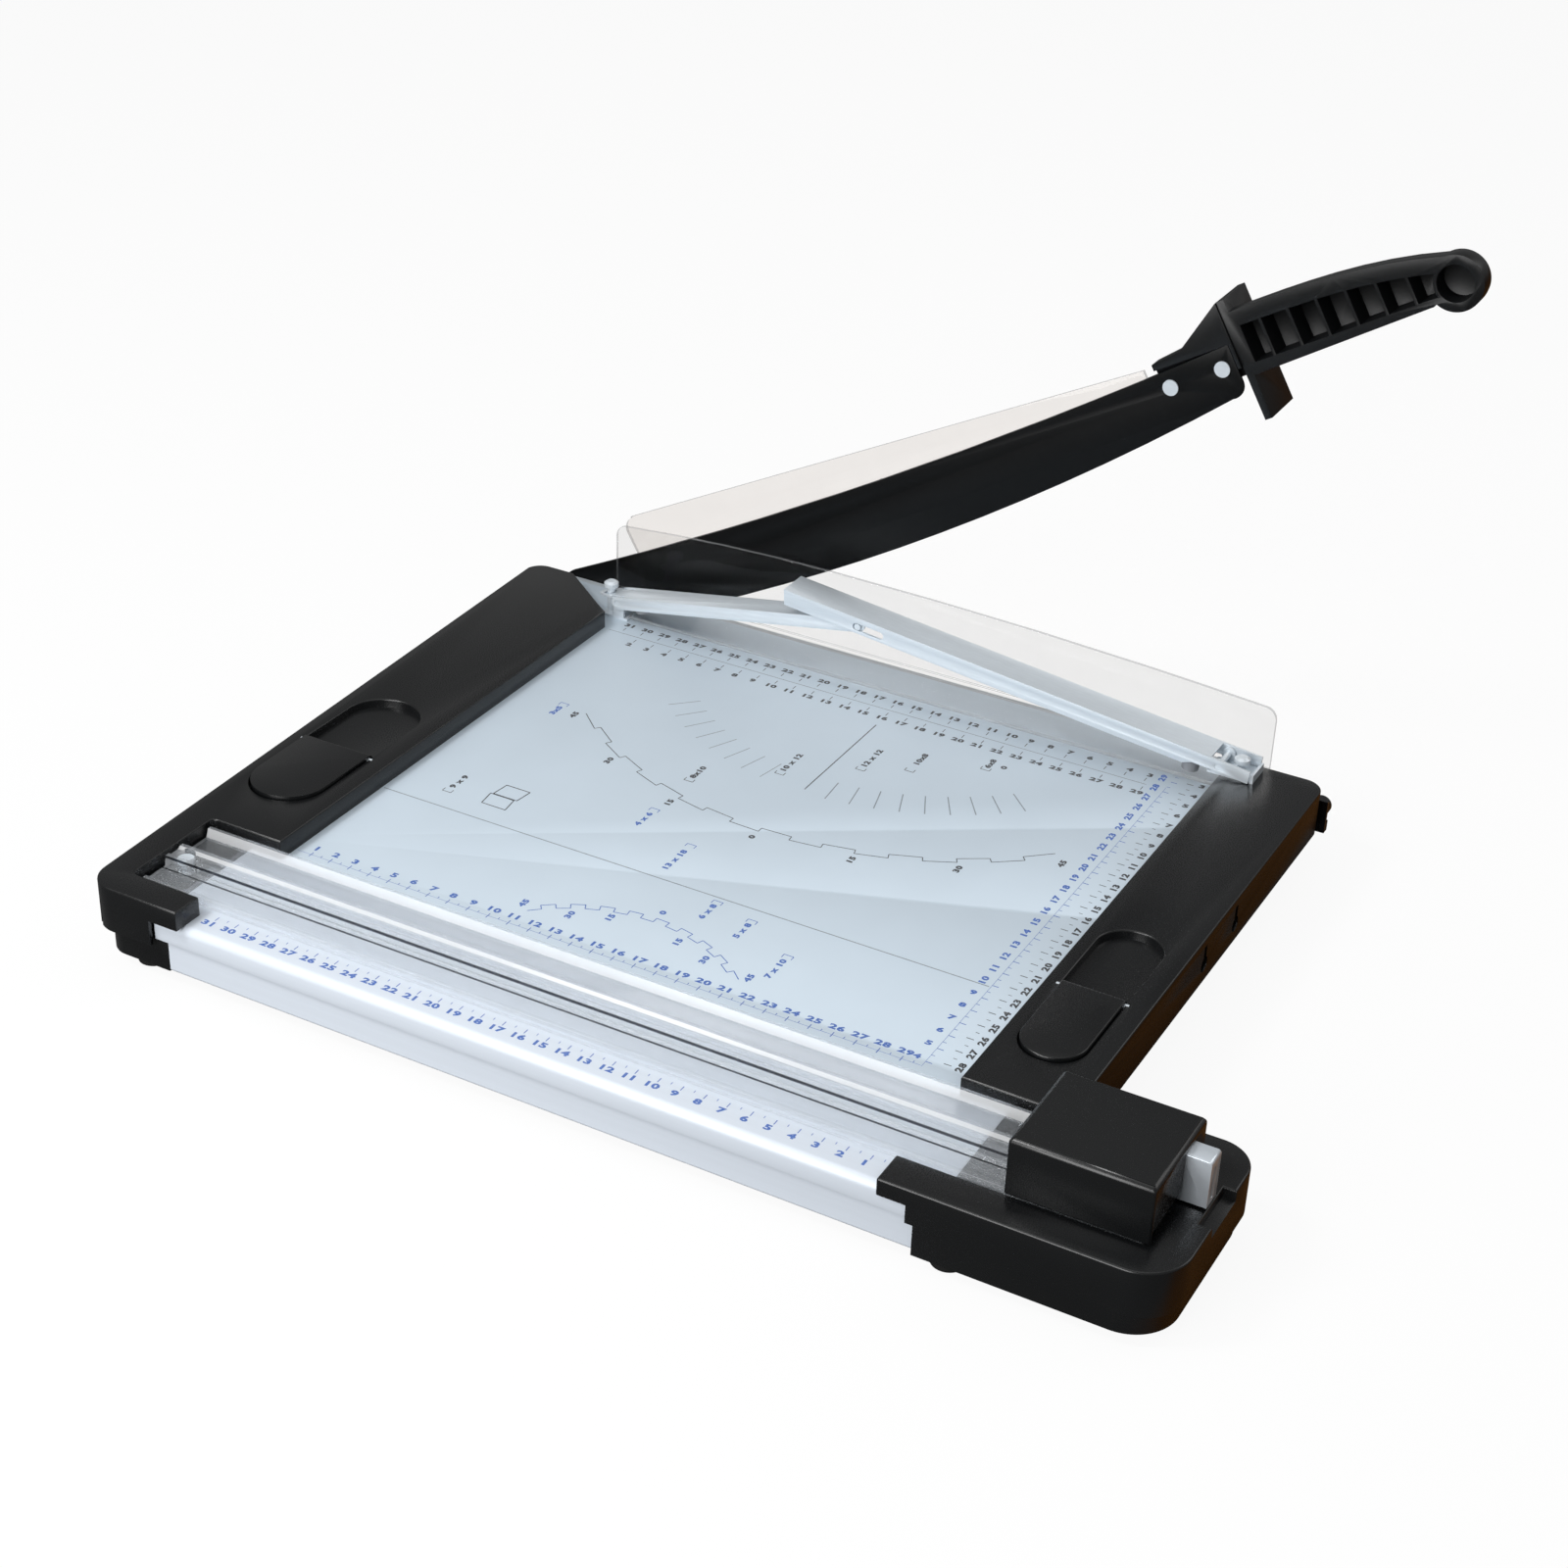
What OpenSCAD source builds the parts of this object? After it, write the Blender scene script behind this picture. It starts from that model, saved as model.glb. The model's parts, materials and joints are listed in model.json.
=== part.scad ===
/* [Table] */
// Clear width of the bed between the side frames
bed_w = 317.5; // [300:1:340]
// Distance from the rotary cutting line to the guillotine edge
bed_depth = 323.3; // [310:1:350]
// Thickness of the table's sheet steel
sheet_t = 1.5; // [1:0.1:2]
// Depth of the body below the table top
body_h = 25; // [24:1:30]
// Width of the lip folded in under the table's skirts
table_lip_w = 14; // [13:1:18]

/* [Side frames] */
// Width of the left side frame
left_frame_w = 59; // [55:1:62]
// How much the left frame narrows towards its front
left_taper = 10; // [0:1:14]
// Width of the right side frame
right_frame_w = 44.5; // [43:1:50]
// Height of the side frames above the table
frame_h = 9; // [8.5:0.1:9.5]
// Wall thickness of the moulded frames and caps
shell_t = 2.5; // [2:0.1:2.8]
// Depth of the left frame's outer skirt below the table top
left_skirt_h = 12; // [10:1:16]
// Depth of the right frame's outer skirt below the table top
right_skirt_h = 13; // [10:1:18]
// Distance from the frames' back to the guillotine edge
frame_setback = 12.8; // [12:0.2:16]
// Corner radius at the left frame's front
front_corner_r = 13; // [8:1:15]
// Corner radius at the right frame's back
back_corner_r = 9; // [5:1:12]

/* [Front profile] */
// Distance from the cutting line to the profile's front face
profile_front = 36; // [34:1:38]
// Distance from the cutting line to the profile's back face
profile_back = 27.5; // [27:0.5:29]
// Wall thickness of the extrusion
profile_t = 1.8; // [1.5:0.1:2.2]
// Width of the cutting strip
strip_w = 9; // [7:0.5:11]
// Thickness of the cutting strip
strip_t = 1.2; // [1:0.1:1.5]

/* [End block] */
// How far the end block stands out to the right of the bed
block_reach = 111.5; // [107:0.5:114]
// Height of the end block's top above the table
block_top = 3.5; // [3:0.1:3.8]
// Distance from the cutting line to the end block's back
block_back = 50; // [45:1:60]
// Corner radius at the end block's front
block_r = 19; // [12:1:20]

/* [Rail] */
// Distance from the cutting line to the rail's front edge
rail_front = 20; // [19:0.5:20.5]
// Distance from the cutting line to the rail's back edge
rail_back = 23.5; // [22:0.5:23.5]
// Height of the rail's central ridges above the table
rail_h = 8; // [7:0.1:8]
// Gap under the rail for paper, which it also closes when pressed
rail_gap = 0.9; // [0.6:0.1:1]
// Width of the slot that the rotary blade runs in
rail_slot_w = 2.4; // [2:0.2:2.8]

/* [Cutter head] */
// Length of the head along the rail
head_len = 56; // [52:0.5:57]
// Height of the head's top above the table
head_top = 29; // [28.5:0.5:32]
// Wall thickness of the head cover
head_wall = 1.8; // [1.5:0.1:2]
// Radius of the rotary blade
cutter_r = 12.5; // [11.5:0.1:12.5]
// Thickness of the rotary blade
cutter_t = 0.6; // [0.4:0.1:0.8]
// Radius of the rotary blade's axle
axle_r = 2.5; // [2:0.1:3]
// Width of the release button
button_w = 9.4; // [8:0.2:9.6]

/* [Blade arm] */
// Angle of the raised arm above the table
arm_angle = 31; // [10:1:55]
// Thickness of the moving blade
blade_t = 2.5; // [2:0.1:3]
// Radius of the blade's round pivot end
blade_heel_r = 16.5; // [15:0.5:17]
// Depth of the pivot below the table top
pivot_drop = 12; // [11.5:0.1:12.5]
// Radius of the pivot bolt
pivot_r = 5; // [4:0.5:6]
// Distance from the pivot to the blade's far end
blade_len = 385; // [380:0.5:390]
// Greatest depth of the cutting edge below the pivot line
blade_belly = 26.6; // [26:0.1:27]
// Thickness of the clear panels
panel_t = 2; // [1.5:0.1:2.2]

/* [Handle] */
// Distance from the blade's far end to the cross guard
guard_gap = 2; // [1:0.5:6]
// Length of the cross guard above the pivot line
guard_up = 30; // [26:1:34]
// Length of the cross guard below the pivot line
guard_down = 25; // [20:1:25]
// Thickness of the cross guard
guard_t = 3.5; // [3:0.5:5]
// Depth of the cross guard from front to back
handle_w = 26; // [22:1:28]
// Depth of the grip from its open side to its rounded back
grip_w = 16.5; // [15:0.5:20]
// Radius of the grip's round end
grip_end_r = 12; // [11:0.5:13]
// Distance from the cross guard to the centre of the grip's round end
grip_len = 100.5; // [95:0.5:110]
// Number of ribs across the grip's open side
grip_ribs = 6; // [3:1:6]

/* [Clamp levers] */
// Outer width of the right lever's channel
lever_w = 17; // [16:0.5:17.5]
// Sheet thickness of the levers
lever_t = 1.2; // [1:0.1:1.4]
// Slope of the right lever at rest
right_lever_angle = 6.6; // [6.3:0.1:7]
// Length of the right lever from its pivot to its free end
right_lever_len = 224; // [210:1:228]
// Depth of the link pin below the right lever's pivot line
link_drop = 1.21; // [1:0.01:1.4]
// Radius of the link pin
link_r = 1.6; // [1.4:0.1:1.8]
// Radius of the lever pivots
lever_pin_r = 1.5; // [1.2:0.1:1.8]

/* [Guard shield] */
// Height of the shield at its highest point
shield_h = 42; // [36:1:46]
// Width of the shield's foot on the table
shield_foot_w = 29; // [26:0.5:30]
// Gap under the shield's foot at rest
shield_gap = 1.8; // [1.7:0.1:2]

/* [Flaps] */
// Width of the left recess
left_recess_w = 36; // [32:1:38]
// Width of the right recess
right_recess_w = 28; // [24:1:30]
// Length of each flap from its hinge line
flap_len = 50; // [44:1:54]
// Thickness of the flaps
flap_t = 5; // [4.6:0.2:5.2]
// Radius of the flap pins
flap_pin_r = 1.2; // [1:0.1:1.4]

/* [Feet] */
// Height of the rubber feet
foot_h = 6; // [5:0.5:10]
// Radius of the rubber feet
foot_r = 7; // [6:0.5:7.5]

/* [Hidden] */

$fn = 48;
overrun = 1;     // how far a cut runs past the face that it opens
gap = 0.3;       // clearance between pieces that move past each other
running = 0.05;  // radial clearance of a shaft that turns in its bore
seat = 0.02;     // radial clearance of a pin held in its seat

black = "#26282c";
steel = "#b9c8d2";
clear = "#dfe6ea";
bed_grey = "#c9d6e0";

// Bench axes: x from the scale's zero, y from the rotary cutting line, z from the table top
bed_left = 2;
bed_right = bed_left + bed_w;
frame_left = bed_left - left_frame_w;
frame_right = bed_right + right_frame_w;
frame_back = bed_depth - frame_setback;
frame_lip = 3;
frame_front = -profile_front - frame_lip;
frame_inner_top = frame_h - shell_t;
left_side_x = frame_left + left_taper;
finger_short = 1.5;

// Table pan, set in from the frames' outer sides
left_inset = 11;
right_inset = 12;
pan_left = frame_left + left_inset;
pan_right = frame_right - right_inset;
pan_front = profile_back + gap;
fixed_blade_t = 3;
pan_back = bed_depth - fixed_blade_t;
fixed_blade_h = 18;

// End block
block_lip = 1.2;
block_cover = 2.5;
block_left = bed_right - block_cover;
block_right = bed_right + block_reach;
block_front = -profile_front - block_lip;
block_steps_x = [12.2, 15.5];
block_steps_z = [-3.7, -11.6];
block_back_r = 15;
block_tuck = 2.5;
block_tuck_z = -16.5;
block_floor = 2.2;
socket_depth = 20;
profile_right = bed_right + socket_depth;
profile_left = -14;
cap_left = -42.5;
cap_step = 5.5;
cap_step_z = -10.3;
cap_inset = 1;
cap_corner_r = 10;
notch_w = 24;
notch_drop = 4.5;

// Cutter head
parking_rim = 15;
head_right = block_right - parking_rim;
head_left = head_right - head_len;
head_front = -rail_front - gap - head_wall;
head_rear_room = 0.8;
head_back = rail_back + gap + head_wall + head_rear_room;
head_low = block_top + 2 * gap;
head_edge_r = 2.5;
right_front = head_back + 2 * gap;
carriage_len = 42;
carriage_left = head_left + head_wall + gap;
carriage_right = carriage_left + carriage_len;
carriage_top_drop = 5;
cutter_in = 22;
cutter_x = carriage_left + cutter_in;
cutter_low = 0.6;
cutter_z = cutter_low + cutter_r;
cutter_edge_w = 1.5;
cheek_t = 6;
hub_r = 4;
hub_w = 2.2;

// Rail
rail_inset = 3.5;
rail_right = head_right - rail_inset;
rail_left = -32.3;
rail_end_w = 12.3;
rail_screw_in = 5.9;
rail_screws_x = [rail_left + rail_screw_in, rail_right - rail_screw_in];
slot_y = rail_slot_w / 2;
ridge_w = 4.4;
ridge_y = slot_y + ridge_w;
crest_w = 1.9;
crest_dip = 1;
rail_web_low = rail_gap + 0.8 * sheet_t;
rail_web_t = 1.4;
rail_web_top = rail_web_low + rail_web_t;
rail_foot_w = 1.6;
cheek_in = ridge_y + rail_foot_w / 2 + gap;
cheek_out = cheek_in + cheek_t / 2;
front_lip_h = 5.2;
back_lip_h = 7.2;
notch_gap = 1.7;
notch_left = rail_left - notch_gap;
notch_front = head_front - 8 * gap;
notch_r = 3;
screw_head_r = 3.6;
screw_head_h = 1.8;
screw_r = 2;
rail_seat_z = rail_web_top + gap;
spring_well_h = 8;
spring_well_r = 4.2;
spring_boss_r = 6.4;
spring_boss_h = 12;
spring_r = 3.2;
spring_wire_r = 0.35;
spring_turns = 5;

// Release button
button_len = 9.6;
button_front = ridge_y + rail_foot_w / 2 + gap;
button_mid = button_front + button_w / 2;
button_low = rail_web_top + 4 * gap;
button_top_drop = 4.2;
button_high = head_top - button_top_drop;
button_round = 1.5;
button_slit_w = 1.4;
button_slit_up = 2;
button_slit_h = 14;
button_travel = 2.5;
button_spring_z = 15;
button_spring_r = 2.4;
button_bore_deep = 8;
flange_t = 1.6;
flange_over = 1;
flange_right = head_right - head_wall - seat;

// Blade arm, whose own axes run along the arm, back and square to the arm
pivot_in = 22;
pivot_x = frame_left + pivot_in;
blade_front = bed_depth + gap;
blade_rear = blade_front + blade_t;
top_low_at_share = 0.59;
cut_low_at_share = 0.457;
top_edge_low = 6.8;
cut_rise_share = 0.576;
blade_end_r = 6;
blade_bevel_w = 4;
blade_bevel_t = 1.2;
blade_steps = 16;
rivets_back = [32.5, 6.5];
rivet_up = 2.3;
rivet_r = 2.2;
rivet_head_r = 3.6;
rivet_head_h = 0.6;
nut_r = 9;
nut_h = 6;
bolt_head_h = 4;
washer_t = 1.4;
washer_r = 9;
panel_start = 42;
panel_low = 1;
panel_short = 5.5;
panel_left_up = 31.5;
panel_right_up = 12.8;
panel_corner_r = 6;
panel_screw_shares = [0.08, 0.5, 0.92];
panel_screw_up = 3.9;
small_screw_r = 1.5;
small_head_r = 2.8;
small_head_h = 1.5;

// Handle
handle_front = blade_front + 5 * gap;
guard_at = blade_len + guard_gap;
handle_root = 37.5;
root_low = 4;
root_high = 14.3;
root_rise = 1.6;
gusset_w = 6;
gusset_foot = 24;
grip_root_up = 24.3;
grip_root_down = 5;
grip_rim = 7;
grip_floor = 4;
grip_end_up = 3.1;
grip_steps = 8;
grip_side_w = 8;
grip_back_r = grip_w - grip_side_w;
grip_back_steps = [0, 0.5, 0.85, 1];
grip_start = guard_at + guard_t;
grip_end = guard_at + grip_len;
pocket_in = 2.6;
pocket_low = 0.2;
rib_t = 1.3;
rib_first = 15.6;
rib_pitch = 13.3;
dimple_r = 8;
dimple_wall = 1.4;
dimple_deep = 11;

// Clamp levers, seen along the table's back edge
lever_setback = 32.3;
lever_front = bed_depth - lever_setback;
lever_mid = lever_front + lever_w / 2;
lever_up = 3.5;
lever_down = 4.5;
lever_heel_down = 2.5;
lever_heel_len = 12;
lever_heel_back = 15;
lever_open = 4;
inner_w = lever_w - 2 * lever_t - 2 * gap;
inner_up = 3;
inner_down = 3.3;
tip_len = 13;
tip_w = 3;
tip_from = 1;
left_pivot_x = 3;
left_pivot_z = 9.2;
right_pivot_in = 0.5;
right_pivot_x = bed_right - right_pivot_in;
right_pivot_up = 4.5;
right_pivot_z = frame_h + right_pivot_up;
link_share = 0.8147;
link_x = right_pivot_x - link_share * right_lever_len;
link_height = right_pivot_z + (right_pivot_x - link_x) * tan(right_lever_angle) - link_drop;
left_lever_angle = atan2(link_height - left_pivot_z, link_x - left_pivot_x);
link_at = norm([link_x - left_pivot_x, link_height - left_pivot_z]);
link_back_x = right_pivot_x - link_x;
link_back_z = link_height - right_pivot_z;
slot_at = link_back_x * cos(right_lever_angle) + link_back_z * sin(right_lever_angle);
slot_up = link_back_z * cos(right_lever_angle) - link_back_x * sin(right_lever_angle);
slot_len = 12;
slot_play = 0.25;
slot_start_play = 0.5;
stud_r = 2;
stud_head_r = 3.6;
stud_head_h = 3;
stud_play = 1;
left_stud_x = -4.5;
left_stud_top = 17;
right_stud_x = bed_right + 8;
right_stud_top = frame_h + 8.5;
bracket_t = 1.2;
ear_r = 3;
ear_play = 0.8;
left_bracket_w = inner_w - 2 * lever_t - 2 * gap;
left_ear_y = (left_bracket_w - bracket_t) / 2;
left_foot_x = [-7, 8];
right_foot_x = [-5.5, 16];
bracket_lip_h = 4;
buffer_r = 4;
right_buffer_at = 14.3;
right_buffer_down = 10.6;
left_buffer_at = 10.5;
left_buffer_down = 6.3;

// Guard shield
shield_setback = 0.6;
shield_back = bed_depth - shield_setback;
shield_left = -15;
shield_over = 14.5;
shield_right = bed_right + shield_over;
shield_foot_left = left_foot_x[1] + 2 * gap;
shield_peak_share = 0.33;
shield_left_drop = 6;
shield_right_drop = 9.5;
shield_corner_r = 6;
shield_steps = 12;

// Flaps and their recesses
hinge_y = 0.3194 * bed_depth;
recess_play = 0.75;
flap_floor = 4.8;
flap_z = flap_floor + 2 * gap + flap_t / 2;
pocket_wall = 2;
left_recess_x = bed_left - 28;
right_recess_x = bed_right + 20.5;
barrel_len_share = 0.98;
lug_w = 6;

// Side frames' rear corner beside the blade pivot, from the bed's side and the frame's back
corner_in = [0, 9, 36];
corner_back = [27.5, 21, 0];
keyholes_y = [0.51 * bed_depth, 0.619 * bed_depth];
keyhole_r = 3.5;
keyhole_slit_w = 3;
keyhole_top = 5;
keyhole_z = -4;
frame_screws_y = [0.124 * bed_depth, 0.544 * bed_depth, 0.829 * bed_depth];
screw_boss_r = 4;
screw_tip = 5;

// Feet
foot_in = 7.4;
block_feet = [[23.3, -26], [98, 28]];
cap_foot = [-27, -23];
foot_boss_r = 9;

// The frame's origin is under the middle of the whole trimmer, where its feet stand
arm_end_x = pivot_x + grip_end * cos(arm_angle) - grip_end_up * sin(arm_angle) + grip_end_r;
middle_x = (frame_left + max(block_right, arm_end_x)) / 2;
middle_y = (frame_front + handle_front + handle_w) / 2;
floor_z = -body_h - foot_h;

module bench() translate([-middle_x, -middle_y, -floor_z]) children();

module box(low, high) translate(low) cube(high - low);

module rod_x(x0, x1, y, z, r) translate([x0, y, z]) rotate([0, 90, 0]) cylinder(h = x1 - x0, r = r);

module rod_y(y0, y1, x, z, r) translate([x, y1, z]) rotate([90, 0, 0]) cylinder(h = y1 - y0, r = r);

module rod_z(z0, z1, x, y, r) translate([x, y, z0]) cylinder(h = z1 - z0, r = r);

// A flat outline in y and z, carried from x0 to x1
module along_x(x0, x1) translate([x0, 0, 0]) rotate([90, 0, 90]) linear_extrude(x1 - x0) children();

// A flat outline in x and z, carried from y0 to y1
module along_y(y0, y1) translate([0, y1, 0]) rotate([90, 0, 0]) linear_extrude(y1 - y0) children();

module upright(z0, z1) translate([0, 0, z0]) linear_extrude(z1 - z0) children();

// A rectangle whose corner radii run from the lower left one anticlockwise
module rounded(low, high, radii) {
  size = high - low;
  difference() {
    translate(low) square(size);
    for (k = [0:3]) {
      corner = [k == 1 || k == 2 ? high.x : low.x, k > 1 ? high.y : low.y];
      if (radii[k] > 0) translate(corner) rotate(90 * k) difference() {
        translate([-overrun, -overrun]) square(radii[k] + overrun);
        translate([radii[k], radii[k]]) circle(radii[k]);
      }
    }
  }
}

module stadium(x, y0, y1, w) {
  r = w / 2;
  translate([x, y0 + r]) circle(r);
  translate([x, y1 - r]) circle(r);
  translate([x - r, y0 + r]) square([w, y1 - y0 - w]);
}

// An unbroken coil of wire along z, swept ring by ring
module coil(height, r, wire_r, turns) {
  steps = 12 * turns;
  sides = 6;
  rise = height - 2 * wire_r;
  points = [for (i = [0:steps], j = [0:sides - 1])
    let (a = 360 * turns * i / steps, b = 360 * j / sides, d = r + wire_r * cos(b))
    [d * cos(a), d * sin(a), wire_r + rise * i / steps + wire_r * sin(b)]];
  start = [for (j = [1:sides - 2]) [0, j, j + 1]];
  last = sides * steps;
  finish = [for (j = [1:sides - 2]) [last, last + j + 1, last + j]];
  skin = [for (i = [0:steps - 1], j = [0:sides - 1])
    let (a = sides * i + j, b = sides * i + (j + 1) % sides)
    each [[a, a + sides, b], [b, a + sides, b + sides]]];
  polyhedron(points, concat(start, finish, skin));
}

// Table and what it is made of

module table_plate() color(bed_grey) difference() {
  box([pan_left, pan_front, -body_h], [pan_right, pan_back, 0]);
  box([pan_left + sheet_t, pan_front + sheet_t, -body_h + sheet_t],
    [pan_right - sheet_t, pan_back - sheet_t, -sheet_t]);
  box([pan_left + table_lip_w, pan_front + table_lip_w, -body_h - overrun],
    [pan_right - table_lip_w, pan_back - table_lip_w, -body_h + sheet_t + overrun]);
  for (p = screw_places()) rod_z(-sheet_t - overrun, overrun, p.x, p.y, small_screw_r + gap);
  for (x = blade_screws_x) rod_y(pan_back - sheet_t - overrun, pan_back + overrun, x, blade_screw_z,
    small_screw_r + seat);
  rod_y(pan_back - sheet_t - overrun, pan_back + overrun, pivot_x, -pivot_drop, pivot_r + seat);
}

function screw_places() = [for (x = [left_recess_x, right_recess_x], y = frame_screws_y) [x, y]];
blade_screw_z = -fixed_blade_h / 2;
blade_screws_x = [for (share = [0.06, 0.28, 0.5, 0.72, 0.94]) bed_left + share * bed_w];

module left_outline() difference() {
  intersection() {
    union() {
      rounded([left_side_x, frame_front], [bed_left, frame_front + 2 * front_corner_r],
        [front_corner_r, 0, 0, 0]);
      polygon([[left_side_x, frame_front + front_corner_r], [bed_left, frame_front + front_corner_r],
        [bed_left, frame_back], [frame_left, frame_back]]);
    }
    rounded([frame_left, frame_front], [bed_left, frame_back], [0, 0, 0, back_corner_r]);
  }
  translate([bed_left - finger_short, frame_front - overrun]) square([finger_short + overrun, -frame_front]);
  rounded([notch_left, notch_front], [bed_left + overrun + notch_r, right_front],
    [notch_r, 0, 0, notch_r]);
  polygon([[bed_left + overrun, frame_back - corner_back[0]],
    [bed_left, frame_back - corner_back[0]],
    [bed_left - corner_in[1], frame_back - corner_back[1]],
    [bed_left - corner_in[2], frame_back],
    [bed_left - corner_in[2], frame_back + overrun],
    [bed_left + overrun, frame_back + overrun]]);
}

// Hollow under the left frame's roof
module left_hollow() {
  back = frame_back - shell_t;
  polygon([[left_side_x + shell_t, frame_front + front_corner_r], [notch_left - shell_t, frame_front + front_corner_r],
    [notch_left - shell_t, back], [frame_left + shell_t + back_corner_r / 2, back],
    [frame_left + shell_t, back - back_corner_r / 2]]);
  for (right = [notch_left - shell_t, bed_left - 3 * shell_t]) rounded([left_side_x + shell_t, frame_front + shell_t],
    [right, notch_front - shell_t], [front_corner_r - shell_t, 0, 0, 0]);
  polygon([[notch_left - 2 * shell_t, pan_front], [bed_left - shell_t, pan_front],
    [bed_left - shell_t, frame_back - corner_back[0] - shell_t],
    [notch_left - 2 * shell_t, frame_back - corner_back[0] - shell_t]]);
}

module screw_boss(x, y) rod_z(0, frame_inner_top + overrun, x, y, screw_boss_r);

module recess_boss(x, w) upright(flap_floor - pocket_wall, frame_inner_top + overrun)
  stadium(x, hinge_y - flap_len - recess_play - pocket_wall, hinge_y + flap_len + recess_play + pocket_wall,
    w + 2 * pocket_wall);

module recess_cut(x, w) {
  upright(flap_floor, frame_h + overrun)
    stadium(x, hinge_y - flap_len - recess_play, hinge_y + flap_len + recess_play, w);
  rod_x(x - w / 2 - 0.75 * pocket_wall, x + w / 2 + 0.75 * pocket_wall, hinge_y, flap_z, flap_pin_r + seat);
}

module left_frame() color(black) difference() {
  union() {
    difference() {
      upright(-left_skirt_h, frame_h) left_outline();
      upright(-left_skirt_h - overrun, frame_inner_top) left_hollow();
    }
    recess_boss(left_recess_x, left_recess_w);
    for (y = frame_screws_y) screw_boss(left_recess_x, y);
  }
  recess_cut(left_recess_x, left_recess_w);
  for (y = frame_screws_y) rod_z(-overrun, screw_tip, left_recess_x, y, small_screw_r + seat);
  box([pan_left - gap, right_front - gap, -left_skirt_h - overrun],
    [bed_left + overrun, frame_back + overrun, 0]);
  box([cap_left - gap, -profile_front - overrun, -left_skirt_h - overrun], [bed_left + overrun, pan_back, 0]);
  box([profile_left - gap, frame_front - overrun, -left_skirt_h - overrun], [bed_left + overrun, 0, 0]);
}

module right_outline() rounded([bed_right, right_front], [frame_right, frame_back], [0, 0, back_corner_r, 0]);

module right_frame() color(black) difference() {
  union() {
    difference() {
      upright(-right_skirt_h, frame_h) right_outline();
      box([bed_right + shell_t, right_front + shell_t, -right_skirt_h - overrun],
        [frame_right - shell_t, frame_back - back_corner_r, frame_inner_top]);
      box([bed_right + shell_t, right_front + shell_t, -right_skirt_h - overrun],
        [frame_right - back_corner_r, frame_back - shell_t, frame_inner_top]);
    }
    recess_boss(right_recess_x, right_recess_w);
    for (y = frame_screws_y) screw_boss(right_recess_x, y);
  }
  recess_cut(right_recess_x, right_recess_w);
  for (y = frame_screws_y) rod_z(-overrun, screw_tip, right_recess_x, y, small_screw_r + seat);
  box([bed_right - overrun, right_front - overrun, -right_skirt_h - overrun],
    [pan_right + gap, frame_back + overrun, 0]);
  for (y = keyholes_y) {
    rod_x(frame_right - shell_t - overrun, frame_right + overrun, y, keyhole_z, keyhole_r);
    box([frame_right - shell_t - overrun, y - keyhole_slit_w / 2, keyhole_z],
      [frame_right + overrun, y + keyhole_slit_w / 2, keyhole_top]);
  }
  rod_z(frame_inner_top - overrun, frame_h + overrun, right_stud_x, lever_mid, stud_r + seat);
}

module spring_boss(x) rod_z(-spring_boss_h, -shell_t / 2, x, 0, spring_boss_r);

module spring_well(x) {
  rod_z(-spring_well_h, overrun, x, 0, spring_well_r);
  rod_z(-spring_boss_h - overrun, 0, x, 0, screw_r + seat);
}

module left_end_cap() color(black) difference() {
  union() {
    difference() {
      upright(-body_h, 0) rounded([cap_left, -profile_front + cap_inset],
        [profile_left, profile_back], [cap_corner_r, 0, 0, 0]);
      upright(-body_h - overrun, -shell_t) rounded([cap_left + shell_t, -profile_front + cap_inset + shell_t],
        [profile_left - shell_t, profile_back - shell_t], [cap_corner_r - shell_t, 0, 0, 0]);
    }
    box([profile_left - shell_t, -profile_front + cap_inset, -body_h],
      [profile_left + cap_step, profile_back, cap_step_z]);
    spring_boss(rail_screws_x[0]);
    rod_z(-body_h, -shell_t / 2, cap_foot.x, cap_foot.y, foot_r);
  }
  spring_well(rail_screws_x[0]);
}

module block_outline(tuck = 0) {
  rounded([block_left, block_front], [block_right - tuck, right_front - gap], [1, block_r, 0, 0]);
  rounded([frame_right + gap, 0], [block_right - tuck, block_back - tuck], [0, 0, block_back_r, shell_t]);
}

// Hollow under the end block's top
module block_hollow() {
  right = block_right - block_tuck - shell_t;
  rounded([profile_right + shell_t, block_front + shell_t], [right, right_front - gap - shell_t],
    [0, block_r - shell_t, 0, 0]);
  rounded([frame_right + gap + shell_t, 0], [right, block_back - block_tuck - shell_t],
    [0, 0, block_back_r - shell_t, 0]);
}

module end_block() color(black) difference() {
  union() {
    difference() {
      union() {
        upright(block_tuck_z, block_top) block_outline();
        upright(-body_h, block_tuck_z + overrun) block_outline(block_tuck);
      }
      upright(-body_h - overrun, -block_floor) block_hollow();
    }
    spring_boss(rail_screws_x[1]);
    for (p = block_feet) rod_z(-body_h, -block_floor + overrun, bed_right + p.x, p.y, foot_boss_r);
  }
  box([block_left - overrun, -profile_front - gap, -body_h - overrun], [profile_right, pan_front, 0]);
  box([block_left - overrun, -rail_front - 3 * gap, 0], [rail_right + gap, right_front, block_top + overrun]);
  box([block_left - overrun, block_front - overrun, -body_h - overrun],
    [block_left + block_steps_x[0], 0, block_steps_z[0]]);
  box([block_left - overrun, block_front - overrun, -body_h - overrun],
    [block_left + block_steps_x[1], 0, block_steps_z[1]]);
  box([head_right + button_len + gap, button_mid - notch_w / 2, block_top - notch_drop],
    [block_right + overrun, button_mid + notch_w / 2, block_top + overrun]);
  spring_well(rail_screws_x[1]);
}

module chamber(y0, y1, z0, z1) rounded([y0, z0], [y1, z1], [sheet_t, sheet_t, sheet_t, sheet_t]);

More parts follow.
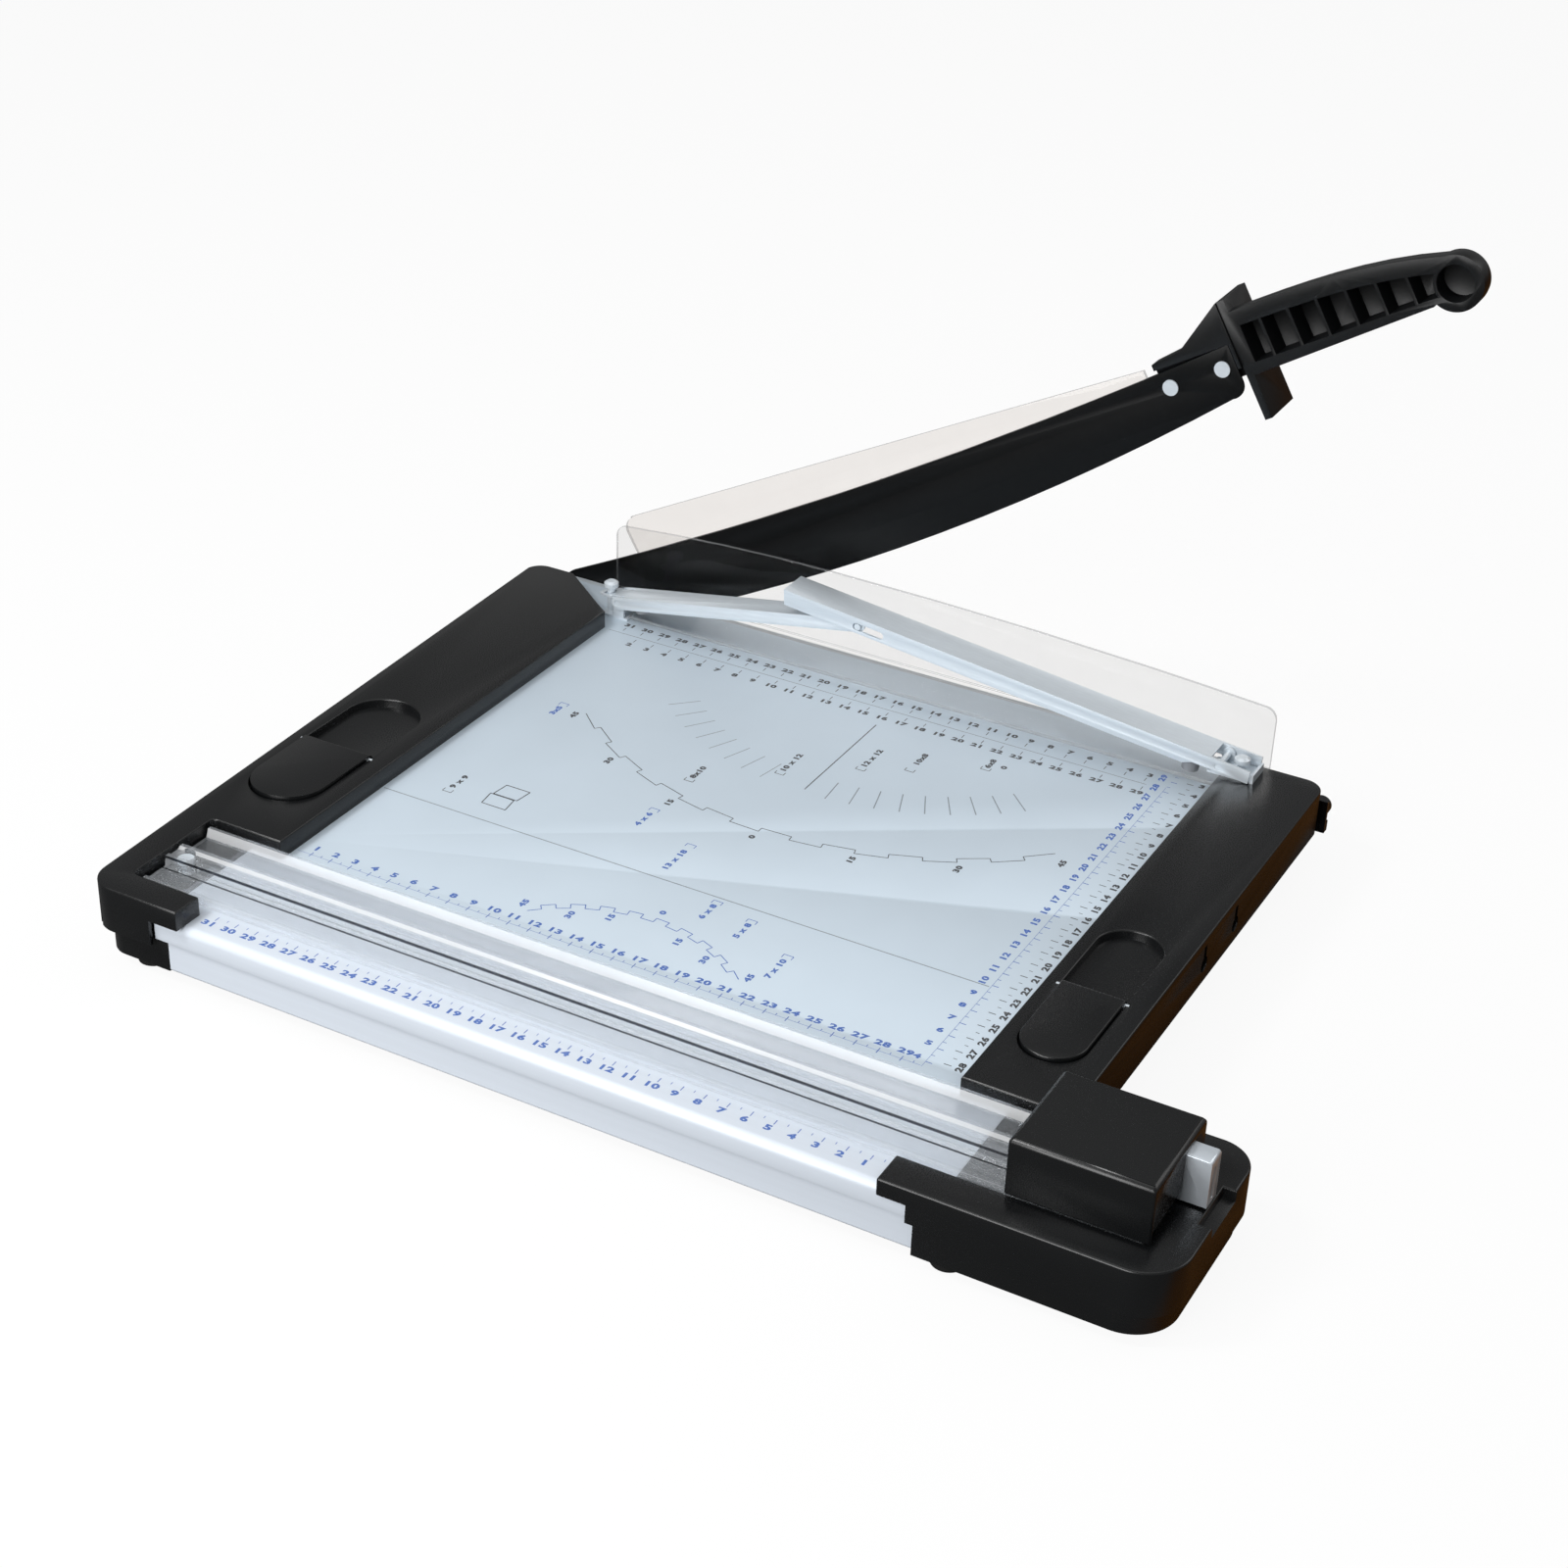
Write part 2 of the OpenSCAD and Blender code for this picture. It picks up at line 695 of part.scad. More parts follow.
module profile_outline() {
  band = 2 * profile_t / 3;
  split = -0.4 * body_h;
  difference() {
    union() {
      rounded([-profile_front, split], [profile_back, 0], [0, 0, 0, 2 * profile_t]);
      rounded([-profile_front + band, -body_h], [profile_back, split + overrun], [profile_t, 0, 0, 0]);
    }
    translate([-strip_w / 2, -strip_t]) square([strip_w, strip_t + overrun]);
    chamber(-profile_front + band + profile_t, -strip_w, -body_h + profile_t, -2 * profile_t);
    chamber(-strip_w + profile_t, strip_w - profile_t, -body_h + profile_t, -strip_t - profile_t);
    chamber(strip_w, profile_back - profile_t, -body_h + profile_t, -profile_t);
  }
}

module front_extrusion() color("#e8ecf2") difference() {
  along_x(profile_left, profile_right) profile_outline();
  box([profile_left - overrun, -profile_front - overrun, -body_h - overrun],
    [profile_left + cap_step, profile_back + overrun, cap_step_z]);
}

module cutting_strip() color("#33373d")
  box([profile_left, -strip_w / 2 + seat, -strip_t], [profile_right, strip_w / 2 - seat, 0]);

module fixed_blade() color(steel) difference() {
  box([bed_left - corner_in[1] / 2, pan_back, -fixed_blade_h], [pan_right, bed_depth, 0]);
  for (x = blade_screws_x) rod_y(pan_back - overrun, pan_back + fixed_blade_t / 2, x, blade_screw_z,
    small_screw_r + seat);
}

module blade_screws() color(steel) for (x = blade_screws_x) {
  rod_y(pan_back - sheet_t - small_head_h, pan_back - sheet_t, x, blade_screw_z, small_head_r);
  rod_y(pan_back - sheet_t - small_head_h, pan_back + fixed_blade_t / 2, x, blade_screw_z, small_screw_r);
}

module pivot_bracket() color(steel) difference() {
  along_y(pan_back, bed_depth) rounded([pan_left, -body_h], [bed_left - corner_in[1] / 2 - gap, 0],
    [shell_t, 0, 0, shell_t]);
  rod_y(pan_back - overrun, bed_depth + overrun, pivot_x, -pivot_drop, pivot_r + seat);
}

module hexagon(y0, y1, r) translate([pivot_x, y1, -pivot_drop]) rotate([90, 0, 0])
  cylinder(h = y1 - y0, r = r, $fn = 6);

bolt_end = blade_rear + 2 * gap + 2 * washer_t + nut_h;

module pivot_bolt() color(steel) {
  hexagon(pan_back - sheet_t - bolt_head_h, pan_back - sheet_t, nut_r);
  rod_y(pan_back - sheet_t - overrun, bolt_end + sheet_t, pivot_x, -pivot_drop, pivot_r);
}

module spring_washer() color(steel) translate([pivot_x, blade_rear + gap, -pivot_drop]) rotate([-90, 0, 0])
  rotate_extrude() polygon([[pivot_r + running, washer_t], [washer_r, 0], [washer_r, washer_t],
    [pivot_r + running, 2 * washer_t]]);

module lock_nut() color(steel) difference() {
  hexagon(bolt_end - nut_h, bolt_end, nut_r);
  rod_y(bolt_end - nut_h - overrun, bolt_end + overrun, pivot_x, -pivot_drop, pivot_r + seat);
}

module frame_screws() color(steel) for (p = screw_places()) {
  rod_z(-sheet_t - small_head_h, -sheet_t, p.x, p.y, small_head_r);
  rod_z(-sheet_t - small_head_h, screw_tip - gap, p.x, p.y, small_screw_r);
}

module foot(x, y) rod_z(floor_z, -body_h, x, y, foot_r);

module rubber_feet() color("#1c1c1e") {
  foot(cap_foot.x, cap_foot.y);
  for (p = block_feet) foot(bed_right + p.x, p.y);
  for (x = [pan_left + foot_in, pan_right - foot_in]) foot(x, pan_back - foot_in);
}

stop_x = pan_right + gap;
stop_w = 13.6;
stop_t = 2;
stop_buffer_r = 4.5;
stop_buffer_h = 5;
stop_z = [-16, -11, 0];

module rear_stop() color(black) {
  box([stop_x, frame_back, stop_z[1]], [stop_x + stop_w, frame_back + stop_t, stop_z[2]]);
  box([stop_x + stop_w / 2, frame_back, stop_z[0]], [stop_x + stop_w, frame_back + 2 * stop_t, stop_z[1]]);
  rod_y(frame_back, frame_back + stop_t + stop_buffer_h, stop_x + stop_w - stop_buffer_r,
    (stop_z[1] + stop_z[2]) / 2, stop_buffer_r);
}

// Moving blade and handle, drawn along the arm and turned about the pivot

module on_arm() translate([pivot_x, 0, -pivot_drop]) rotate([0, -arm_angle, 0]) children();

function top_edge(s) = let (low = top_low_at_share * blade_len)
  top_edge_low + (blade_heel_r - top_edge_low) * pow((s - low) / low, 2);

function cut_edge(s) = let (low = cut_low_at_share * blade_len)
  -blade_belly + cut_rise_share * (blade_belly - top_edge_low) * pow((s - low) / low, 2);

module blade_outline(up = 0) {
  corner_at = blade_len - blade_end_r;
  top = [for (k = [0:blade_steps]) let (s = blade_len * k / blade_steps) [s, top_edge(s)]];
  cut = [for (k = [blade_steps:-1:0]) let (s = corner_at * k / blade_steps) [s, cut_edge(s) + up]];
  end_up = cut_edge(corner_at) + blade_end_r - gap + up;
  polygon(concat(top, [[blade_len, end_up]], cut));
  translate([corner_at, end_up]) circle(blade_end_r);
  circle(blade_heel_r);
}

module blade_arm() color(black) on_arm() difference() {
  union() {
    along_y(blade_front, blade_front + blade_bevel_t) blade_outline();
    along_y(blade_front + blade_bevel_t, blade_rear) blade_outline(blade_bevel_w);
  }
  rod_y(blade_front - overrun, blade_rear + overrun, 0, 0, pivot_r + running);
  for (back = rivets_back) rod_y(blade_front - overrun, blade_rear + overrun, blade_len - back, rivet_up,
    rivet_r + seat);
  for (share = panel_screw_shares) rod_y(blade_front + gap, blade_rear + overrun, panel_screw_at(share),
    panel_screw_up, small_screw_r + seat);
}

function panel_end() = blade_len - handle_root - panel_short;
function panel_screw_at(share) = panel_start + share * (panel_end() - panel_start);
function grip_top(s) = grip_root_up
  - (grip_root_up - grip_end_up - grip_end_r) * pow((s - grip_start) / (grip_end - grip_start), 3);

module gusset_outline() difference() {
  start = blade_len - handle_root + 2 * gap;
  polygon([[start, -root_low], [start, root_high], [guard_at - gusset_foot, root_high + root_rise],
    [guard_at, guard_up], [guard_at, -root_low]]);
}

module grip_outline() {
  polygon(concat([[grip_start - overrun, -grip_root_down]],
    [[grip_start - overrun, grip_root_up]],
    [for (k = [0:grip_steps]) let (s = grip_start + (grip_end - grip_start) * k / grip_steps) [s, grip_top(s)]],
    [[grip_end, grip_end_up], [grip_end - grip_end_r, -0.6 * grip_root_down]]));
  translate([grip_end, grip_end_up]) circle(grip_end_r);
}

// Outline of the grip's bar, drawn in by a distance
module bar_outline(inset) polygon(concat([[grip_start - overrun, -grip_root_down + inset]],
  [[grip_start - overrun, grip_root_up - inset]],
  [for (k = [0:grip_steps]) let (s = grip_start + (grip_end - grip_start) * k / grip_steps)
    [s, grip_top(s) - inset]],
  [[grip_end, -0.6 * grip_root_down + inset]]));

// Rounded back of the grip, a bar and a button-shaped end
module grip_back() {
  y0 = handle_front + grip_side_w;
  for (k = [0:2]) hull() for (share = [grip_back_steps[k], grip_back_steps[k + 1]]) {
    y = y0 + share * grip_back_r - (share == 0 ? overrun : 0);
    along_y(y - seat, y) bar_outline(grip_back_r * (1 - sqrt(1 - share * share)));
  }
  translate([grip_end, y0, grip_end_up]) rotate([-90, 0, 0]) rotate_extrude() polygon(concat([[0, -overrun]],
    [[grip_end_r, -overrun]], [for (a = [0:15:90])
      [grip_end_r - grip_back_r + grip_back_r * cos(a), grip_back_r * sin(a)]], [[0, grip_back_r]]));
}

module pocket_outline() difference() {
  first = grip_start + pocket_in;
  last = grip_end;
  polygon(concat([[last, pocket_low], [first, pocket_low]],
    [for (k = [0:grip_steps]) let (s = first + (last - first) * k / grip_steps) [s, grip_top(s) - grip_rim]]));
  for (k = [0:grip_ribs - 1]) translate([guard_at + rib_first + k * rib_pitch - rib_t / 2, -grip_end_r])
    square([rib_t, 4 * grip_end_r]);
  translate([grip_end, grip_end_up]) circle(dimple_r + dimple_wall);
}

module handle() color(black) on_arm() difference() {
  union() {
    along_y(blade_rear, blade_rear + gusset_w) gusset_outline();
    along_y(blade_front, blade_rear + gusset_w) difference() {
      gusset_outline();
      translate([0, -4 * gap]) square([blade_len + gap, top_edge(blade_len) + 4 * gap]);
      translate([0, -2 * blade_belly]) square([guard_at + overrun, 2 * blade_belly]);
    }
    box([blade_len - handle_root / 2, blade_rear, -root_low],
      [guard_at + overrun, handle_front + handle_w / 2, top_edge(blade_len)]);
    along_y(handle_front, handle_front + grip_side_w) grip_outline();
    grip_back();
    box([guard_at, handle_front, -guard_down], [guard_at + guard_t, handle_front + handle_w, guard_up]);
  }
  along_y(handle_front - overrun, handle_front + grip_w - grip_floor) pocket_outline();
  rod_y(handle_front - overrun, handle_front + dimple_deep, grip_end, grip_end_up, dimple_r);
  for (back = rivets_back) rod_y(blade_rear - overrun, rivet_back + overrun, blade_len - back, rivet_up,
    rivet_r + seat);
}

rivet_back = blade_rear + gusset_w;

module arm_rivets() color(steel) on_arm() for (back = rivets_back) {
  rod_y(blade_front - rivet_head_h, blade_front, blade_len - back, rivet_up, rivet_head_r);
  rod_y(blade_front - rivet_head_h, rivet_back, blade_len - back, rivet_up, rivet_r);
}

module arm_guard() color(clear, 0.4) on_arm() difference() {
  along_y(blade_rear, blade_rear + panel_t) {
    polygon([[panel_start + panel_corner_r, panel_low], [panel_end(), panel_low], [panel_end(), panel_right_up],
      [panel_start + panel_corner_r, panel_left_up]]);
    rounded([panel_start, panel_low], [panel_start + 2 * panel_corner_r, panel_left_up - small_head_r / 4],
      [0, 0, 0, panel_corner_r]);
  }
  for (share = panel_screw_shares) rod_y(blade_rear - overrun, blade_rear + panel_t + overrun,
    panel_screw_at(share), panel_screw_up, small_screw_r + seat);
}

module guard_screws() color(steel) on_arm() for (share = panel_screw_shares) {
  rod_y(blade_rear + panel_t, blade_rear + panel_t + small_head_h, panel_screw_at(share), panel_screw_up,
    small_head_r);
  rod_y(blade_front + 2 * gap, blade_rear + panel_t + small_head_h, panel_screw_at(share), panel_screw_up,
    small_screw_r);
}

// Clamp levers, each drawn level from its pivot and tilted to its rest slope

module on_right_lever() translate([right_pivot_x, 0, right_pivot_z]) rotate([0, right_lever_angle, 0])
  mirror([1, 0, 0]) children();

module on_left_lever() translate([left_pivot_x, 0, left_pivot_z]) rotate([0, -left_lever_angle, 0])
  children();

module right_side() difference() {
  polygon([[-lever_heel_back, -lever_heel_down], [lever_heel_len, -lever_heel_down],
    [lever_heel_len + lever_down, -lever_down], [right_lever_len - lever_t, -lever_down],
    [right_lever_len, lever_up], [-lever_heel_back, lever_up]]);
  circle(lever_pin_r + running);
  for (at = [slot_at + slot_start_play, slot_at - slot_len]) translate([at, slot_up]) circle(link_r + slot_play);
  translate([slot_at - slot_len, slot_up - link_r - slot_play])
    square([slot_len + slot_start_play, 2 * (link_r + slot_play)]);
}

module right_lever() color(steel) on_right_lever() {
  along_y(lever_front, lever_front + lever_t) right_side();
  along_y(lever_front + lever_w - lever_t, lever_front + lever_w) right_side();
  box([lever_open, lever_front, lever_up - lever_t], [right_lever_len, lever_front + lever_w, lever_up]);
}

module left_side() difference() {
  union() {
    polygon([[0, -inner_down], [link_at, -inner_down], [link_at, inner_up], [0, inner_up]]);
    circle(inner_up);
    translate([link_at, 0]) circle(inner_up);
  }
  circle(lever_pin_r + running);
  translate([link_at, 0]) circle(link_r + seat);
}

module left_lever() color(steel) on_left_lever() {
  for (y = [lever_mid - inner_w / 2, lever_mid + inner_w / 2 - lever_t]) along_y(y, y + lever_t) left_side();
  difference() {
    upright(inner_up - lever_t, inner_up) polygon([[-tip_from, lever_mid - inner_w / 2],
      [link_at, lever_mid - inner_w / 2], [link_at, lever_mid + inner_w / 2],
      [-tip_from, lever_mid + inner_w / 2], [-tip_len, lever_mid + tip_w / 2], [-tip_len, lever_mid - tip_w / 2]]);
    rod_z(-overrun, inner_up + overrun, left_stud_x - left_pivot_x, lever_mid, stud_r + stud_play);
    for (side = [-1, 1]) box([-ear_r - ear_play, lever_mid + side * left_ear_y - bracket_t / 2 - gap, -overrun],
      [ear_r + ear_play, lever_mid + side * left_ear_y + bracket_t / 2 + gap, inner_up + overrun]);
  }
}

module link_pin() color(steel) on_left_lever()
  rod_y(lever_front, lever_front + lever_w, link_at, 0, link_r);

module right_buffer() color("#e6e6e2") on_right_lever()
  rod_z(-right_buffer_down, lever_up - lever_t, right_buffer_at, lever_mid, buffer_r);

module left_buffer() color("#e6e6e2") on_left_lever()
  rod_z(-left_buffer_down, inner_up - lever_t, left_buffer_at, lever_mid, buffer_r);

// A folded bracket whose ears carry a lever's pivot
module bracket(foot_x, base_z, ear_x, ear_z, w) {
  y0 = lever_mid - w / 2;
  y1 = lever_mid + w / 2;
  box([foot_x[0], y0, base_z], [foot_x[1], y1, base_z + bracket_t]);
  for (y = [y0, y1 - bracket_t]) difference() {
    union() {
      box([ear_x - ear_r, y, base_z], [ear_x + ear_r, y + bracket_t, ear_z]);
      rod_y(y, y + bracket_t, ear_x, ear_z, ear_r);
    }
    rod_y(y - overrun, y + bracket_t + overrun, ear_x, ear_z, lever_pin_r + seat);
  }
}

module left_lever_bracket() color(steel) difference() {
  bracket(left_foot_x, 0, left_pivot_x, left_pivot_z, left_bracket_w);
  rod_z(-overrun, bracket_t + overrun, left_stud_x, lever_mid, stud_r + seat);
}

module right_lever_bracket() color(steel) {
  w = lever_w - 2 * lever_t - 2 * gap;
  foot = [bed_right + right_foot_x[0], bed_right + right_foot_x[1]];
  difference() {
    union() {
      bracket(foot, frame_h, right_pivot_x, right_pivot_z, w);
      box([foot[1] - bracket_t, lever_mid - w / 2, frame_h], [foot[1], lever_mid + w / 2, frame_h + bracket_lip_h]);
    }
    rod_z(frame_h - overrun, frame_h + bracket_t + overrun, right_stud_x, lever_mid, stud_r + seat);
  }
}

module stud(x, low, top) {
  rod_z(low, top - stud_head_h, x, lever_mid, stud_r);
  rod_z(top - stud_head_h, top - stud_head_h / 3, x, lever_mid, stud_head_r);
  translate([x, lever_mid, top - stud_head_h / 3])
    cylinder(h = stud_head_h / 3, r1 = stud_head_r, r2 = 0.6 * stud_head_r);
}

module lever_studs() color(steel) {
  stud(left_stud_x, 0, left_stud_top);
  stud(right_stud_x, frame_inner_top, right_stud_top);
}

module lever_pins() color(steel) {
  rod_y(lever_front + gap, lever_front + lever_w - gap, right_pivot_x, right_pivot_z, lever_pin_r);
  rod_y(lever_mid - inner_w / 2 + gap, lever_mid + inner_w / 2 - gap, left_pivot_x, left_pivot_z, lever_pin_r);
}

// Clear guard shield: a foot on the table and a wall with an arched top

function shield_top(x) = let (peak = shield_left + shield_peak_share * (shield_right - shield_left))
  shield_h - (x < peak ? shield_left_drop * pow((peak - x) / (peak - shield_left), 2)
    : shield_right_drop * pow((x - peak) / (shield_right - peak), 2));

module shield_wall() {
  x0 = shield_left + shield_corner_r;
  x1 = shield_right - shield_corner_r;
  polygon(concat([[x1, shield_gap], [x0, shield_gap]],
    [for (k = [0:shield_steps]) let (x = x0 + (x1 - x0) * k / shield_steps) [x, shield_top(x)]]));
  rounded([shield_left, shield_gap], [x0 + shield_corner_r, shield_top(x0)], [0, 0, 0, shield_corner_r]);
  rounded([x1 - shield_corner_r, shield_gap], [shield_right, shield_top(x1)], [0, 0, shield_corner_r, 0]);
}

module guard_shield() color(clear, 0.4) {
  along_y(shield_back - panel_t, shield_back) shield_wall();
  box([shield_foot_left, shield_back - shield_foot_w, shield_gap],
    [bed_right - 4 * gap, shield_back, shield_gap + panel_t]);
}

// Clear rail, in three sub-parts that meet face to face: its ridges, its flat wings and its raised edges

wing_y = ridge_y + rail_foot_w / 2;

module ridge_outline() polygon([[slot_y, rail_gap], [slot_y + rail_foot_w, rail_gap],
  [slot_y + rail_foot_w, rail_web_low], [wing_y, rail_web_low], [wing_y, rail_web_top], [ridge_y, rail_h],
  [ridge_y - crest_w, rail_h], [slot_y + crest_w / 2, rail_h - crest_dip], [slot_y, rail_h - crest_dip]]);

module edge_outline(w, lip) polygon([[w - 2 * rail_foot_w, rail_web_low], [w - rail_foot_w, rail_gap],
  [w, rail_gap], [w, lip], [w - rail_foot_w, lip], [w - 2 * rail_foot_w, rail_web_top]]);

module rail_filler() {
  translate([-slot_y, rail_gap]) square([2 * slot_y, rail_h - crest_dip - rail_gap]);
}

module clear_rail() color(clear, 0.4) difference() {
  union() {
    along_x(rail_left, rail_right) mirror([1, 0]) ridge_outline();
    along_x(rail_left, rail_right) ridge_outline();
    along_x(rail_left, rail_left + rail_end_w) rail_filler();
    along_x(rail_right - rail_end_w, rail_right) rail_filler();
  }
  for (x = rail_screws_x) {
    rod_z(rail_web_top, rail_h + overrun, x, 0, screw_head_r + 2 * gap);
    rod_z(0, rail_h, x, 0, screw_r + running);
  }
}

module rail_wings() color(clear, 0.4) {
  box([rail_left, -rail_front + 2 * rail_foot_w, rail_web_low], [rail_right, -wing_y, rail_web_top]);
  box([rail_left, wing_y, rail_web_low], [rail_right, rail_back - 2 * rail_foot_w, rail_web_top]);
}

module rail_edges() color(clear, 0.4) {
  along_x(rail_left, rail_right) mirror([1, 0]) edge_outline(rail_front, front_lip_h);
  along_x(rail_left, rail_right) edge_outline(rail_back, back_lip_h);
}

module rail_screws() color(steel) for (x = rail_screws_x) {
  rod_z(rail_seat_z, rail_seat_z + screw_head_h, x, 0, screw_head_r);
  rod_z(-spring_boss_h, rail_seat_z, x, 0, screw_r);
}

module rail_springs() color(steel) for (x = rail_screws_x) translate([x, 0, -spring_well_h])
  coil(spring_well_h + rail_gap, spring_r, spring_wire_r, spring_turns);

// Cutter head

module head_cover() color(black) difference() {
  intersection() {
    along_y(head_front, head_back)
      rounded([head_left, head_low], [head_right, head_top], [0, 0, head_edge_r, head_edge_r]);
    along_x(head_left, head_right)
      rounded([head_front, head_low], [head_back, head_top], [0, 0, head_edge_r, head_edge_r]);
  }
  box([head_left + head_wall, head_front + head_wall, 0],
    [head_right - head_wall, head_back - head_wall, head_top - head_wall]);
  box([head_left - overrun, head_front + head_wall, 0],
    [head_right + overrun, head_back - head_wall, rail_h + 2 * gap]);
  box([head_right - head_wall - overrun, button_front - gap, 0],
    [head_right + overrun, button_front + button_w + gap, button_high + gap]);
}

module head_carriage() color("#2e3136") difference() {
  union() {
    box([carriage_left, -cheek_out, rail_h + gap], [carriage_right, cheek_out, head_top - carriage_top_drop]);
    for (x = [carriage_left, carriage_right - cheek_t])
      box([x, -ridge_y, rail_h + gap], [x + cheek_t, ridge_y, head_top - head_wall]);
    box([carriage_right - cheek_t, 0, rail_h + gap],
      [carriage_right, button_mid + button_spring_r + 2 * gap, button_spring_z + button_spring_r + 2 * gap]);
  }
  slot = cutter_r + 2 * gap;
  box([cutter_x - slot, -slot_y - gap, 0], [cutter_x + slot, slot_y + gap, head_top]);
  rod_y(-ridge_y - cheek_t, ridge_y + cheek_t, cutter_x, cutter_z, axle_r + seat);
}

module carriage_cheeks() color("#2e3136") for (y = [cheek_in, -cheek_out])
  box([carriage_left, y, rail_web_top + 2 * gap], [carriage_right, y + cheek_t / 2, rail_h + gap]);

module blade_axle() color(steel)
  rod_y(-ridge_y - cheek_t / 2, ridge_y + cheek_t / 2, cutter_x, cutter_z, axle_r);

module blade_hub() color(steel) difference() {
  rod_y(-hub_w / 2, hub_w / 2, cutter_x, cutter_z, hub_r);
  rod_y(-hub_w, hub_w, cutter_x, cutter_z, axle_r + running);
}

module rotary_blade() color("#d5dade") translate([cutter_x, 0, cutter_z]) rotate([90, 0, 0]) difference() {
  union() {
    cylinder(h = cutter_t, r = cutter_r - cutter_edge_w, center = true);
    cylinder(h = cutter_t / 2, r1 = cutter_r, r2 = cutter_r - cutter_edge_w);
    mirror([0, 0, 1]) cylinder(h = cutter_t / 2, r1 = cutter_r, r2 = cutter_r - cutter_edge_w);
  }
  cylinder(h = 2 * hub_w, r = hub_r, center = true);
}

module head_button() color("#d9dcdf") difference() {
  union() {
    along_y(button_front, button_front + button_w) rounded([flange_right - flange_t, button_low],
      [head_right + button_len, button_high], [0, 0, button_round, 0]);
    box([flange_right - flange_t, button_front, rail_h + 2 * gap],
      [flange_right, button_front + button_w + flange_over, button_high + flange_over]);
  }
  rod_x(flange_right - flange_t - overrun, flange_right - flange_t + button_bore_deep, button_mid,
    button_spring_z, button_spring_r + spring_wire_r + gap);
  box([head_right + button_len - flange_t, button_mid - button_slit_w / 2, button_low + button_slit_up],
    [head_right + button_len + overrun, button_mid + button_slit_w / 2,
      button_low + button_slit_up + button_slit_h]);
}

// The spring is drawn as long as it is with the button pressed in
module button_spring() color(steel) translate([carriage_right, button_mid, button_spring_z]) rotate([0, 90, 0])
  coil(flange_right - flange_t + button_bore_deep - button_travel - gap - carriage_right, button_spring_r,
    spring_wire_r, spring_turns);

// Flaps in the side frames

module flap_pins() color(steel) for (flap = [[left_recess_x, left_recess_w], [right_recess_x, right_recess_w]])
  rod_x(flap[0] - flap[1] / 2 - 0.75 * pocket_wall, flap[0] + flap[1] / 2 + 0.75 * pocket_wall, hinge_y, flap_z,
    flap_pin_r);

module flap(x, w) {
  half = w / 2 - gap;
  difference() {
    union() {
      upright(flap_z - flap_t / 2, flap_z + flap_t / 2) {
        translate([x, hinge_y - flap_len + half]) circle(half);
        translate([x - half, hinge_y - flap_len + half]) square([2 * half, flap_len - half]);
      }
      rod_x(x - half, x + half, hinge_y, flap_z, flap_t / 2);
    }
    rod_x(x - w, x + w, hinge_y, flap_z, flap_pin_r + running);
  }
}

module left_flap() color(black) flap(left_recess_x, left_recess_w);
module right_flap() color(black) flap(right_recess_x, right_recess_w);

bench() table_plate();
bench() left_frame();
bench() right_frame();
bench() left_end_cap();
bench() end_block();
bench() front_extrusion();
bench() cutting_strip();
bench() fixed_blade();
bench() blade_screws();
bench() pivot_bracket();
bench() pivot_bolt();
bench() spring_washer();
bench() lock_nut();
bench() frame_screws();
bench() rubber_feet();
bench() rear_stop();
bench() left_lever_bracket();
bench() right_lever_bracket();
bench() lever_studs();
bench() lever_pins();
bench() rail_screws();
bench() rail_springs();
bench() flap_pins();
bench() blade_arm();
bench() handle();
bench() arm_rivets();
bench() arm_guard();
bench() guard_screws();
bench() right_lever();
bench() right_buffer();
bench() left_lever();
bench() left_buffer();
bench() link_pin();
bench() guard_shield();
bench() clear_rail();
bench() rail_wings();
bench() rail_edges();
bench() head_cover();
bench() head_carriage();
bench() carriage_cheeks();
bench() blade_axle();
bench() blade_hub();
bench() rotary_blade();
bench() head_button();
bench() button_spring();
bench() left_flap();
bench() right_flap();
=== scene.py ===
"""Looks of a desk paper trimmer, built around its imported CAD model.

Laid out as an add-on and run as a script.
"""

import json
import math
from contextlib import contextmanager
from typing import NamedTuple

import bmesh
import bpy
from bpy.props import FloatProperty, FloatVectorProperty, IntProperty, PointerProperty
from mathutils import Matrix, Vector


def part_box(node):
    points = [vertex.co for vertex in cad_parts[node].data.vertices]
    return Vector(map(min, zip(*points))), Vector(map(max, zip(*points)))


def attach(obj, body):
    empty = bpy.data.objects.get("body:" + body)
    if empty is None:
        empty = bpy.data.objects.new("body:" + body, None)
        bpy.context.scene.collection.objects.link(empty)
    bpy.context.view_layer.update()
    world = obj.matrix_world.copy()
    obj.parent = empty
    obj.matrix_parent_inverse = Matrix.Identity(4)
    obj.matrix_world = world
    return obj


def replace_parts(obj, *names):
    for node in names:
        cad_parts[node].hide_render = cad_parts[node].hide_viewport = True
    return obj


bl_info = {
    "name": "Paper trimmer",
    "version": (1, 0, 0),
    "blender": (4, 5, 0),
    "location": "3D View > Sidebar > Trimmer",
    "description": "Dresses the paper trimmer with rounded edges, finishes and printed scales",
    "category": "Object",
}

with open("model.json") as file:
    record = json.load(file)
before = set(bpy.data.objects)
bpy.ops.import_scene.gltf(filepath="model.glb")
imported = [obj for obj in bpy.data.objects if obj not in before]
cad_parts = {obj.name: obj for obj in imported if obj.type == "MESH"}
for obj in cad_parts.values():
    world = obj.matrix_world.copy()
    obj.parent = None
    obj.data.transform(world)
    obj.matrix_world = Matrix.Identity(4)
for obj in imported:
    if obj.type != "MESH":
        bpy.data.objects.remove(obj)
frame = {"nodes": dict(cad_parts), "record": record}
NODES = frame["nodes"]
SLOTS = {part["node"]: part["material_slot"] for part in frame["record"]["subparts"]}
BODY_OF = {
    node: body
    for body, nodes in frame["record"]["behaviour"]["bodies"].items()
    for node in nodes
}
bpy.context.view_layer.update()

MM = 0.001
CM_IN_MM = 10  # pitch of the centimetre scales

